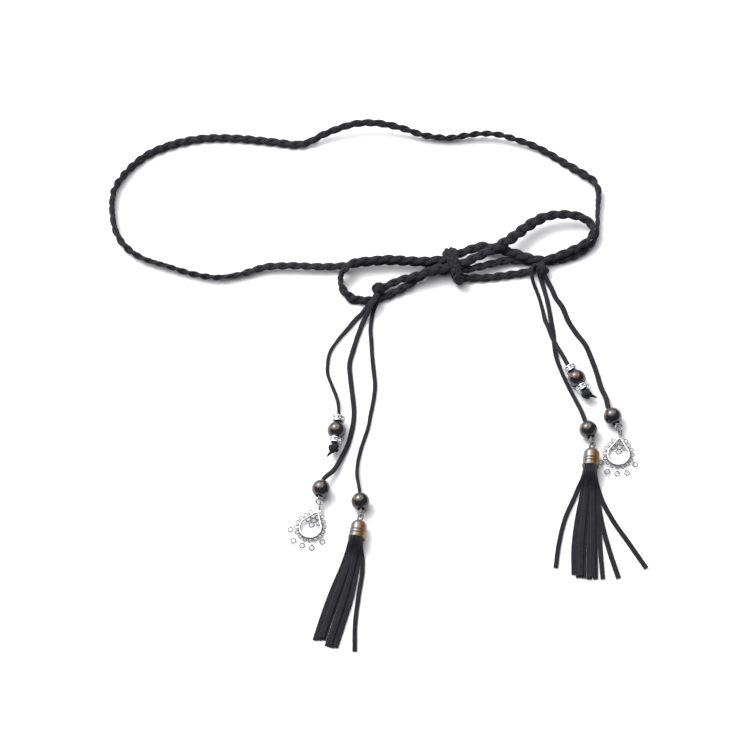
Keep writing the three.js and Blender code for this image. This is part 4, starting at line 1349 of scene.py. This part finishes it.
@dataclass
class Stopper:
    """The knot in a lace's end, with its cut tip standing out."""

    node: str
    place: Matrix
    tip_turn: float
    across: float = 3.2
    along: float = 2.9
    up: float = 3.0
    tip: float = 6.3
    tip_start: float = 0.6
    tip_bend: Sequence[float] = (0.25, 0.2, 0.5)
    tip_taper: float = 0.62
    taper_power: float = 1.6
    core: Sequence[float] = (0.94, 1.0, 0.9)
    lace: Section = field(default_factory=lambda: Section(2.5, 1.5, squareness=2.4))
    tip_lace: Section = field(default_factory=lambda: Section(2.5, 1.1, squareness=3))
    windings: Rows = ((0, 0), (70, 10), (-60, -12))
    winding_height: float = 0.95

    def build(self) -> bpy.types.Object:
        """Makes the knot.

        Returns:
            The knot's object.
        """
        shape = Shape()
        core = (self.across * self.core[0], self.along * self.core[1], self.up * self.core[2])
        shape.ball(Vector(core), self.place, steps=14)
        for turn, lean in self.windings:
            place = self.place @ about("Z", turn) @ about("Y", lean)
            up = self.up * self.winding_height
            Wrap(self.across, self.along, up, place, self.lace, offset=0.5, steps=24).add_to(shape)
        turn = Matrix.Translation((0, 0, -self.up / 2)) @ self.place @ about("Z", self.tip_turn)
        start = turn @ Vector((0, self.tip_start, 0))
        end = turn @ Vector((0, self.tip + self.along / 3, 0))
        route = Route([start, start.lerp(end, 0.5) + Vector(self.tip_bend), end])
        shape.strip(route.stations(0.7), self.tip_lace, self.tip_scale)
        piece = shape.finished(f"{self.node}_wound", LACE_SUEDE.material(), smooth=60)
        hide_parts(self.node)
        return piece

    def tip_scale(self, share: float) -> float:
        """How wide the cut tip is at a share of its length."""
        return 1 - self.tip_taper * share**self.taper_power


@dataclass
class Cap:
    """A bronze bell cap, its mouth at the local origin facing +Y, with a loop on its dome."""

    node: str
    place: Matrix
    radius: float = 5.3
    length: float = 13.7
    wall: float = 0.9
    groove: float = 0.38
    groove_places: Span = (0.38, 0.22)
    groove_outline: Rows = ((-1.3, 0), (-0.5, 0.8), (0, 1), (0.5, 0.8), (1.3, 0))
    dome_rows: int = 12
    lip: float = 0.2
    highlight_side: Span = (-0.35, 0.35)
    loop: float = 1.95
    loop_wire: float = 1.1
    loop_roll: float = 30.0
    flare: float = 0.06

    def build(self) -> tuple[bpy.types.Object, bpy.types.Object]:
        """Makes the cap and its loop.

        Returns:
            The cap and the loop.
        """
        dome = self.length / 3
        shoulder = dome - self.length
        profile = [(0.0, -self.length)]
        for i in range(1, self.dome_rows + 1):
            angle = math.radians(90 * i / self.dome_rows)
            profile.append((self.radius * math.sin(angle), shoulder - dome * math.cos(angle)))
        for share in self.groove_places:
            for ahead, depth in self.groove_outline:
                y = ahead * self.groove - self.length * share
                profile.append((self.radius - self.groove * depth, y))
        rim = self.radius + self.lip
        profile += [(self.radius, -self.wall - 0.5), (rim - 0.05, -self.wall)]
        profile += [(rim, -self.wall / 2), (rim - 0.15, 0.0)]
        inner = self.radius - self.wall
        profile += [(inner + 0.1, 0.0), (inner, -0.2), (inner, shoulder), (inner / 2, shoulder - dome / 2)]
        profile.append((0.0, shoulder - dome / 2 - self.wall / 2))
        profile = [(r * (1 + self.flare * smoothstep(y, -self.length, 0.0)), y) for r, y in profile]
        shape = Shape()
        back = self.place.inverted()
        for vert in shape.turning(profile, self.place, 48):
            spot = back @ vert.co
            side = (vert.co - self.place @ Vector((0, spot.y, 0))).x
            # Painted highlight: the side towards the light turns grey through the mark.
            vert[shape.mark] = smoothstep(-side / self.radius, *self.highlight_side)
        hung = Matrix.Translation((0, -self.length - self.loop, 0)) @ about("Y", self.loop_roll)
        loop = Shape()
        loop.ring(self.loop, self.loop_wire, self.place @ hung)
        ring = loop.finished(f"loop_{self.node}", DARK_STEEL.material())
        piece = shape.finished(f"turned_{self.node}", BRONZE.material())
        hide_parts(self.node)
        return piece, ring


@dataclass
class Tassel:
    """Suede strips that fall out of a cap's mouth and fan out on the table.

    SHARES are the shares of a strip's reach at which its row gives its side places.
    """

    SHARES = (0.0, 0.25, 0.5, 0.75, 1.0)

    node: str
    place: Matrix
    rows: Rows
    height: float = 5.5
    width: float = 3.2
    thickness: float = 1.2
    neck: float = 4.45
    steepest: float = 0.97
    bunch: float = 1.0
    fall: float = 11.0
    core_depth: float = 6.5
    core_cone: Span = (1.0, 1.6)
    lift: float = 0.1
    wave: float = 0.14
    wave_step: float = 0.08
    strip_apart: float = 7.3
    narrow: float = 0.98
    wider: float = 0.05
    cut_edge: float = 0.7

    def build(self) -> bpy.types.Object:
        """Makes the tassel.

        Returns:
            The tassel's object.
        """
        shape = Shape()
        inside = self.neck - self.thickness
        tip_in, tip_out = self.core_cone
        core = [(0.0, -self.core_depth), (inside, -self.core_depth), (inside, self.bunch)]
        core += [(inside - tip_in, self.bunch + tip_out), (0.0, self.bunch + tip_out)]
        shape.turning(core, self.place, 20)
        turn = self.place.to_3x3()
        for number, (*sides, reach, layer) in enumerate(self.rows):
            lean = math.asin(max(-self.steepest, min(self.steepest, sides[0] / self.neck)))
            table = (layer + 0.5) * self.thickness - self.height + self.lift
            route = Route([Vector((side, share * reach, 0)) for side, share in zip(sides, self.SHARES)])
            stations = []
            for i, station in enumerate(route.stations(1.5)):
                y = station.place.y
                bunched = 1 - smoothstep(y, self.bunch, self.bunch + self.fall)
                radius = self.neck - layer
                ring = Vector((radius * math.sin(lean), y, radius * math.cos(lean)))
                flat = Vector((station.place.x, y, table))
                ahead = Vector((station.ahead.x * (1 - bunched), station.ahead.y, 0)).normalized()
                spot = Vector((number * self.strip_apart, i * self.wave_step, 0.0))
                wave = self.wave * noise.noise(spot)
                roll = -lean * bunched + wave * (1 - bunched)
                level = UP.cross(ahead)
                side = level * math.cos(roll) + UP * math.sin(roll)
                up = UP * math.cos(roll) - level * math.sin(roll)
                place = self.place @ flat.lerp(ring, bunched)
                stations.append(Station(place, turn @ side, turn @ up, turn @ ahead))
            width = self.width * (self.narrow + self.wider * ((number * 5) % 3))
            section = Section(width, self.thickness, points=16, squareness=6.0)
            shape.strip(stations, section, rough=0.04, edge_mark=self.cut_edge)
        piece = shape.finished(f"strips_{self.node}", STRIP_SUEDE.material(), smooth=50)
        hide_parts(self.node)
        return piece


@dataclass
class Pendant:
    """A silver filigree drop: a teardrop hoop edged with scallops, small rings below and curls inside."""

    node: str
    place: Matrix
    hoop: float = 7.2
    tip: float = 1.6
    hoop_reach: float = 10.0
    wire: float = 1.3
    thickness: float = 1.3
    scallop: float = 1.6
    scallop_wire: float = 0.6
    scallop_pitch: float = 3.7
    tip_ring: float = 1.9
    tip_ring_wire: float = 0.9
    drop_ring: float = 1.65
    drop_wire: float = 0.65
    drops: Rows = ((-61, 13.2), (-27, 14.6), (0, 14), (27, 14.6), (61, 13.2))
    neck: Sequence[float] = (0.6, 0.6, 0.5)
    curl: float = 0.24
    curl_wire: float = 0.65
    curls: Rows = ((-0.52, 0.72), (0, 0.78), (0.52, 0.72), (-0.25, 1.2), (0.25, 1.2), (0, 0.3))
    solder: Sequence[float] = (0.55, 0.55, 0.5)
    solder_in: float = 0.55
    solder_mark: float = 0.85
    crest: float = 0.85

    def __post_init__(self) -> None:
        """Works out the hoop's places."""
        self.tip_place = 2 * self.tip_ring + self.tip + (self.wire - self.tip_ring_wire) / 2
        self.centre = self.tip_place + self.hoop_reach
        self.lean = math.asin((self.hoop - self.tip) / self.hoop_reach)
        self.beside = self.wire / 2 + self.scallop - self.scallop_wire / 2

    def round_hoop(self, along: float) -> tuple[Vector, float]:
        """A place beside the hoop, where a scallop sits.

        Args:
            along: how far round the hoop it is from its bottom.

        Returns:
            The scallop's middle and its outward angle.
        """
        radius = self.hoop + self.beside
        arc = radius * (math.pi / 2 + self.lean)
        angle = min(abs(along), arc) / radius
        past = max(0.0, abs(along) - arc)
        sign = math.copysign(1, along)
        x = sign * (radius * math.sin(angle) - past * math.sin(self.lean))
        y = self.centre + radius * math.cos(angle) - past * math.cos(self.lean)
        return Vector((x, y, 0)), sign * angle

    def spot(self, point: Vector) -> Matrix:
        """A place on the pendant."""
        return self.place @ Matrix.Translation(point)

    def hoop_stations(self) -> list[Station]:
        """Goes once round the teardrop.

        Returns:
            The hoop's stations, the last at the first.
        """
        reach = math.pi / 2 + self.lean
        points = []
        for i in range(41):
            angle = reach - 2 * reach * i / 40
            points.append((Vector((0, self.centre, 0)), self.hoop, angle))
        for i in range(1, 12):
            angle = -reach - (2 * math.pi - 2 * reach) * i / 12
            points.append((Vector((0, self.tip_place, 0)), self.tip, angle))
        points.append(points[0])
        turn = self.place.to_3x3()
        found = []
        for middle, radius, angle in points:
            out = outward(angle)
            ahead = Vector((-out.y, out.x, 0))
            found.append(Station(self.place @ (middle + out * radius), turn @ out, turn @ UP, turn @ ahead))
        return found

    def build(self) -> bpy.types.Object:
        """Makes the pendant.

        Returns:
            The pendant's object.
        """
        shape = Shape()
        section = Section(self.wire + 0.2, self.thickness + 0.3, points=16, squareness=2.0)
        # The hoop's sides carry the mark: painted shade as a dark outline.
        shape.strip(self.hoop_stations(), section, closed=True, edge_mark=1.0)
        arc = (self.hoop + self.beside) * (math.pi / 2 + self.lean)
        most = int((arc + self.hoop_reach * math.cos(self.lean)) / self.scallop_pitch)
        for i in range(-most, most + 1):
            middle, _ = self.round_hoop(i * self.scallop_pitch)
            radius = self.scallop - self.scallop_wire / 2
            shape.ring(radius, self.scallop_wire, self.spot(middle), steps=18, sides=8, crest=self.crest)
            if i < most:
                between, angle = self.round_hoop((i + 0.5) * self.scallop_pitch)
                inner = between - outward(angle) * (self.beside * self.solder_in)
                shape.ball(Vector(self.solder), self.spot(inner), steps=8, mark=self.solder_mark)
        for degrees, reach in self.drops:
            out = outward(math.radians(degrees))
            middle = Vector((0, self.centre, 0)) + out * reach
            shape.ring(self.drop_ring, self.drop_wire, self.spot(middle), steps=20, sides=8, crest=self.crest)
            neck = Vector((0, self.centre, 0)) + out * (reach - self.drop_ring - self.neck[1])
            shape.ball(Vector(self.neck), self.spot(neck), steps=8)
        shape.ring(self.tip_ring, self.tip_ring_wire, self.spot(Vector((0, self.tip_ring, 0))))
        for side, back in self.curls:
            middle = Vector((side * self.hoop, self.centre - back * self.hoop, 0))
            radius = self.curl * self.hoop
            shape.ring(radius, self.curl_wire, self.spot(middle), steps=18, sides=8, crest=self.crest)
        piece = shape.finished(f"filigree_{self.node}", SILVER.material())
        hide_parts(self.node)
        return piece


@dataclass
class LaceEnd:
    """One free lace with all that is threaded or hung on it.

    x, y and heading are its bead's place in plan and the way it points. Each of the rings is its heading,
    its dip and its roll. The lace rolls and its width strays a little along its length, by noise.
    """

    name: str
    rows: Rows
    end: End
    x: float
    y: float
    heading: float
    rings: Rows = ()
    end_heading: float = 0.0
    tip_turn: float = 0.0
    first_ring: int = 0
    strips: Rows = ()
    bunch: float = 1.0
    widths: Rows = ((0, 1),)
    lace: Section = field(default_factory=lambda: Section(3.0, 1.5, points=12, squareness=3.2))
    bead_radius: float = 6.0
    spacer_length: float = 3.8
    knot_along: float = 2.9
    ring_radius: float = 2.4
    ring_wire: float = 1.0
    eye_radius: float = 1.35
    eye_wire: float = 0.9
    eye_out: float = 0.6
    rest: float = 0.1
    step: float = 1.5
    roll: float = 0.22
    roll_pace: float = 0.05
    roll_start: int = 8
    uneven: float = 0.06
    uneven_pace: float = 18.0
    rough: float = 0.06

    @property
    def middle(self) -> Vector:
        """The bead's middle."""
        return Vector((self.x, self.y, self.bead_radius))

    @property
    def spacer_place(self) -> float:
        """How far each spacer stands from the bead's middle."""
        return self.bead_radius + CLEARANCE / 2 + self.spacer_length / 2

    def route(self) -> Route:
        """Lays the lace and takes it straight through its bead.

        Returns:
            Its middle line.
        """
        ahead = forward_of(self.heading)
        stopped = self.end is End.STOPPER
        far_face = self.spacer_place + self.spacer_length / 2
        back = (far_face if stopped else self.bead_radius) + 1
        reach = far_face if stopped else self.bead_radius + self.eye_out - self.eye_radius
        points = [Vector((x, y, lift + self.rest + self.lace.thickness / 2)) for x, y, lift in self.rows]
        points += [self.middle - ahead * back, self.middle, self.middle + ahead * reach]
        return Route(points)

    def width_at(self, share: float) -> float:
        """How wide the lace is at a share of its length."""
        uneven = self.uneven * noise.noise(Vector((self.y, share * self.uneven_pace, 0.0)))
        return level_at(self.widths, share) + uneven

    def build_lace(self) -> None:
        route = self.route()
        stations = route.stations(self.step)
        for i, station in enumerate(stations):
            spot = Vector((self.x, i * self.roll_pace, 0.0))
            roll = self.roll * noise.noise(spot) * min(1, i / self.roll_start)
            side = station.side * math.cos(roll) + station.up * math.sin(roll)
            station.up = station.up * math.cos(roll) - station.side * math.sin(roll)
            station.side = side
        shape = Shape()
        shape.strip(stations, self.lace, self.width_at, rough=self.rough)
        piece = shape.finished(f"suede_lace_{self.name}", LACE_SUEDE.material(), smooth=60)
        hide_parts(f"lace_{self.name}")
        path = route.path()

    def build(self) -> None:
        """Makes the lace, its bead and everything after it."""
        bead_place = turned(self.middle, self.heading)
        threaded = [Bead(f"bead_{self.name}", bead_place).build()]
        if self.end is End.STOPPER:
            for word, sign in (("upper", -1), ("lower", 1)):
                place = bead_place @ Matrix.Translation((0, sign * self.spacer_place, 0))
                threaded += Spacer(f"spacer_{self.name}_{word}", place).build()
            along = self.spacer_place + self.spacer_length / 2 + CLEARANCE + self.knot_along
            place = bead_place @ Matrix.Translation((0, along, 0))
            threaded.append(Stopper(f"stopper_knot_{self.name}", place, self.tip_turn).build())
            self.build_lace()
            return
        self.build_lace()
        point = self.middle + forward_of(self.heading) * (self.bead_radius + self.eye_out)
        self.build_eye(point)
        for i, (heading, dip, roll) in enumerate(self.rings):
            shape = Shape()
            place = turned(point, heading, dip, roll) @ Matrix.Translation((0, self.ring_radius, 0))
            shape.ring(self.ring_radius, self.ring_wire, place)
            number = self.first_ring + i
            ring = shape.finished(f"wire_ring_{number}", SILVER.material())
            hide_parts(f"jump_ring_{number}")
            point = point + forward_of(heading, dip) * (2 * self.ring_radius - self.ring_wire - CLEARANCE)
        if self.end is End.PENDANT:
            self.build_pendant(point)
        else:
            self.build_tassel(point)

    def build_eye(self, point: Vector) -> None:
        """Makes the wire eye that stands on edge in the bead's bore.

        Args:
            point: the eye's middle.
        """
        shape = Shape()
        upright = turned(point, self.heading) @ about("Y", 90)
        shape.ring(self.eye_radius, self.eye_wire, upright, steps=20, sides=8)
        shape.finished(f"eye_{self.name}", SILVER.material())

    def build_pendant(self, point: Vector) -> None:
        """Hangs the pendant from the last ring.

        Args:
            point: where it hangs.
        """
        word = self.name.split("_")[0]
        flat = turned(point, self.end_heading)
        pendant = Pendant(f"pendant_{word}", flat)
        reach = pendant.centre + pendant.drops[2][1] + pendant.drop_ring + pendant.drop_wire / 2
        dip = math.degrees(math.asin((point.z - pendant.thickness) / reach))
        pendant.place = turned(point, self.end_heading, dip)
        pendant.build()

    def build_tassel(self, point: Vector) -> None:
        """Hangs the cap and its tassel from the last ring.

        Args:
            point: where they hang.
        """
        word = self.name.split("_")[0]
        cap = Cap(f"cap_tassel_{word}", Matrix.Identity(4))
        mouth = point + forward_of(self.end_heading) * (cap.length + 2 * cap.loop)
        mouth.z = cap.radius + cap.lip
        cap.place = turned(mouth, self.end_heading)
        cap.build()
        Tassel(f"tassel_{word}", cap.place, self.strips, bunch=self.bunch).build()


@dataclass
class Studio:
    """The pale table, the soft light and the camera."""

    frame_pixels: float = 750.0
    pixel: float = 2 / 3
    elevation: float = 64.0
    distance: float = 20.0
    zero_column: float = 378.0
    zero_row: float = 385.5
    light_way: tuple[float, float, float] = (-0.48, 0.47, 0.745)
    lights: Rows = ((66.0, 1.5), (26.0, 1.95))
    sky: float = 1.85
    sky_way: tuple[float, float, float] = (-0.25, 0.5, 0.83)
    sky_edge: Span = (0.58, 0.82)
    dark_sky: Colour = (0.09, 0.09, 0.094)
    bright_sky: Colour = (1.0, 1.0, 1.01)
    sensor: float = 36.0
    table_size: float = 30.0
    table_colour: Colour = (0.9, 0.9, 0.91)
    table_roughness: float = 0.8
    table_specular: float = 0.2

    def camera(self) -> None:
        """Stands the camera at the photo's angle, far off with a long lens."""
        slope = math.radians(self.elevation)
        half = self.frame_pixels / 2
        x = (half - self.zero_column) * self.pixel
        y = (self.zero_row - half) * self.pixel / math.sin(slope)
        target = (Vector((x, y, 0)) + Belt.shift) * METRES
        data = bpy.data.cameras.new("camera")
        data.sensor_width = self.sensor
        data.lens = self.sensor * self.distance / (self.frame_pixels * self.pixel * METRES)
        data.clip_start, data.clip_end = 0.1, 100.0
        camera = bpy.data.objects.new("camera", data)
        camera.location = target + Vector((0, -math.cos(slope), math.sin(slope))) * self.distance
        camera.rotation_euler = (math.pi / 2 - slope, 0, 0)
        bpy.context.scene.collection.objects.link(camera)
        bpy.context.scene.camera = camera
        bpy.context.scene.view_settings.view_transform = "Standard"

    def light(self) -> None:
        """Adds a broad and a narrower soft light, and a room that is bright on the lights' side."""
        for spread, strength in self.lights:
            data = bpy.data.lights.new("soft light", "SUN")
            data.angle = math.radians(spread)
            data.energy = strength
            lamp = bpy.data.objects.new("soft light", data)
            lamp.rotation_euler = Vector(self.light_way).to_track_quat("Z", "Y").to_euler()
            bpy.context.scene.collection.objects.link(lamp)
        world = bpy.data.worlds.new("room")
        world.use_nodes = True
        bpy.context.scene.world = world
        nodes = Nodes(world.node_tree)
        background = world.node_tree.nodes["Background"]
        facing = nodes.add("ShaderNodeVectorMath", operation="DOT_PRODUCT")
        nodes.join(nodes.add("ShaderNodeTexCoord").outputs["Generated"], facing.inputs[0])
        facing.inputs[1].default_value = self.sky_way
        glow = nodes.ramp(facing.outputs["Value"], *self.sky_edge)
        nodes.join(nodes.blend(glow, self.dark_sky, self.bright_sky), background.inputs["Color"])
        nodes.settle(background, {"Strength": self.sky})

    def floor(self) -> None:
        """Lays the table."""
        bm = bmesh.new()
        bmesh.ops.create_grid(bm, x_segments=1, y_segments=1, size=self.table_size)
        mesh = bpy.data.meshes.new("table")
        bm.to_mesh(mesh)
        bm.free()
        material = bpy.data.materials.new("pale table")
        material.use_nodes = True
        shader = material.node_tree.nodes["Principled BSDF"]
        gloss = {"Roughness": self.table_roughness, "Specular IOR Level": self.table_specular}
        Nodes.settle(shader, {"Base Color": (*self.table_colour, 1.0), **gloss})
        mesh.materials.append(material)
        floor = bpy.data.objects.new("table", mesh)
        bpy.context.scene.collection.objects.link(floor)


BRAIDS = (
    Braid("waist_braid", WAIST_ROUTE, full=WAIST_FULL, nudge=(-0.35, 0.5), finish=SUEDE),
    Braid("bow_loop_left", BOW_LEFT_ROUTE, full=BOW_LEFT_FULL, nudge=(-0.5, 0.4)),
    Braid("bow_loop_right", BOW_RIGHT_ROUTE, full=BOW_RIGHT_FULL),
    Braid("tail_braid_left", TAIL_LEFT_ROUTE, far_end="knot", full=TAIL_LEFT_FULL),
    Braid("tail_braid_right", TAIL_RIGHT_ROUTE, far_end="knot"),
)
LACE_ENDS = (
    LaceEnd(
        "left_1",
        LACE_LEFT_1,
        End.STOPPER,
        x=-27.6,
        y=-36.1,
        heading=-98,
        tip_turn=-30,
        widths=((0, 1.1), (0.2, 1.05), (0.35, 0.78), (1, 0.78)),
    ),
    LaceEnd(
        "left_2",
        LACE_LEFT_2,
        End.PENDANT,
        x=-37.9,
        y=-79.2,
        heading=-103,
        rings=((-74, 24, 0), (-98, 24, 84)),
        end_heading=-113,
        first_ring=1,
        widths=((0, 1.1), (0.9, 1.1), (1, 0.95)),
    ),
    LaceEnd(
        "left_3",
        LACE_LEFT_3,
        End.TASSEL,
        x=-11.7,
        y=-88.6,
        heading=-86,
        rings=((-92, 9, -42),),
        end_heading=-100,
        first_ring=3,
        strips=TASSEL_LEFT_STRIPS,
        widths=((0, 0.95), (0.42, 0.95), (0.6, 0.84), (1, 0.8)),
    ),
    LaceEnd(
        "right_1",
        LACE_RIGHT_1,
        End.STOPPER,
        x=132.4,
        y=2.3,
        heading=-60,
        tip_turn=42,
        widths=((0, 0.84), (0.3, 0.84), (0.42, 1), (1, 1)),
    ),
    LaceEnd(
        "right_2",
        LACE_RIGHT_2,
        End.TASSEL,
        x=140,
        y=-35.6,
        heading=-72,
        rings=((-76, 9, -42),),
        end_heading=-95,
        first_ring=4,
        strips=TASSEL_RIGHT_STRIPS,
        bunch=4.5,
        widths=((0, 1.04), (0.5, 1), (0.7, 0.9), (0.85, 1.04), (1, 1.06)),
    ),
    LaceEnd(
        "right_3",
        LACE_RIGHT_3,
        End.PENDANT,
        x=156.3,
        y=-25.8,
        heading=-66,
        rings=((-46, 24, 0), (-90, 48, 66)),
        end_heading=-94,
        first_ring=5,
        widths=((0, 1.18), (1, 1.18)),
    ),
)
END_KNOTS = (
    EndKnot("end_knot_left", x=0.5, y=69.4, across=4.3, along=4.4, up=4.2, turn=35),
    EndKnot("end_knot_right", x=108.8, y=85.3, across=5.8, along=3.6, up=3.6, turn=-60),
)


def main() -> None:
    """Builds the belt and its studio."""
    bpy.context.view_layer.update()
    Belt.settle(LACE_ENDS[0].middle)
    studio = Studio()
    studio.camera()
    for braid in BRAIDS:
        braid.build()
    for end in LACE_ENDS:
        end.build()
    BowKnot().build()
    for knot in END_KNOTS:
        knot.build()
    studio.light()
    studio.floor()


if __name__ == "__main__":
    main()
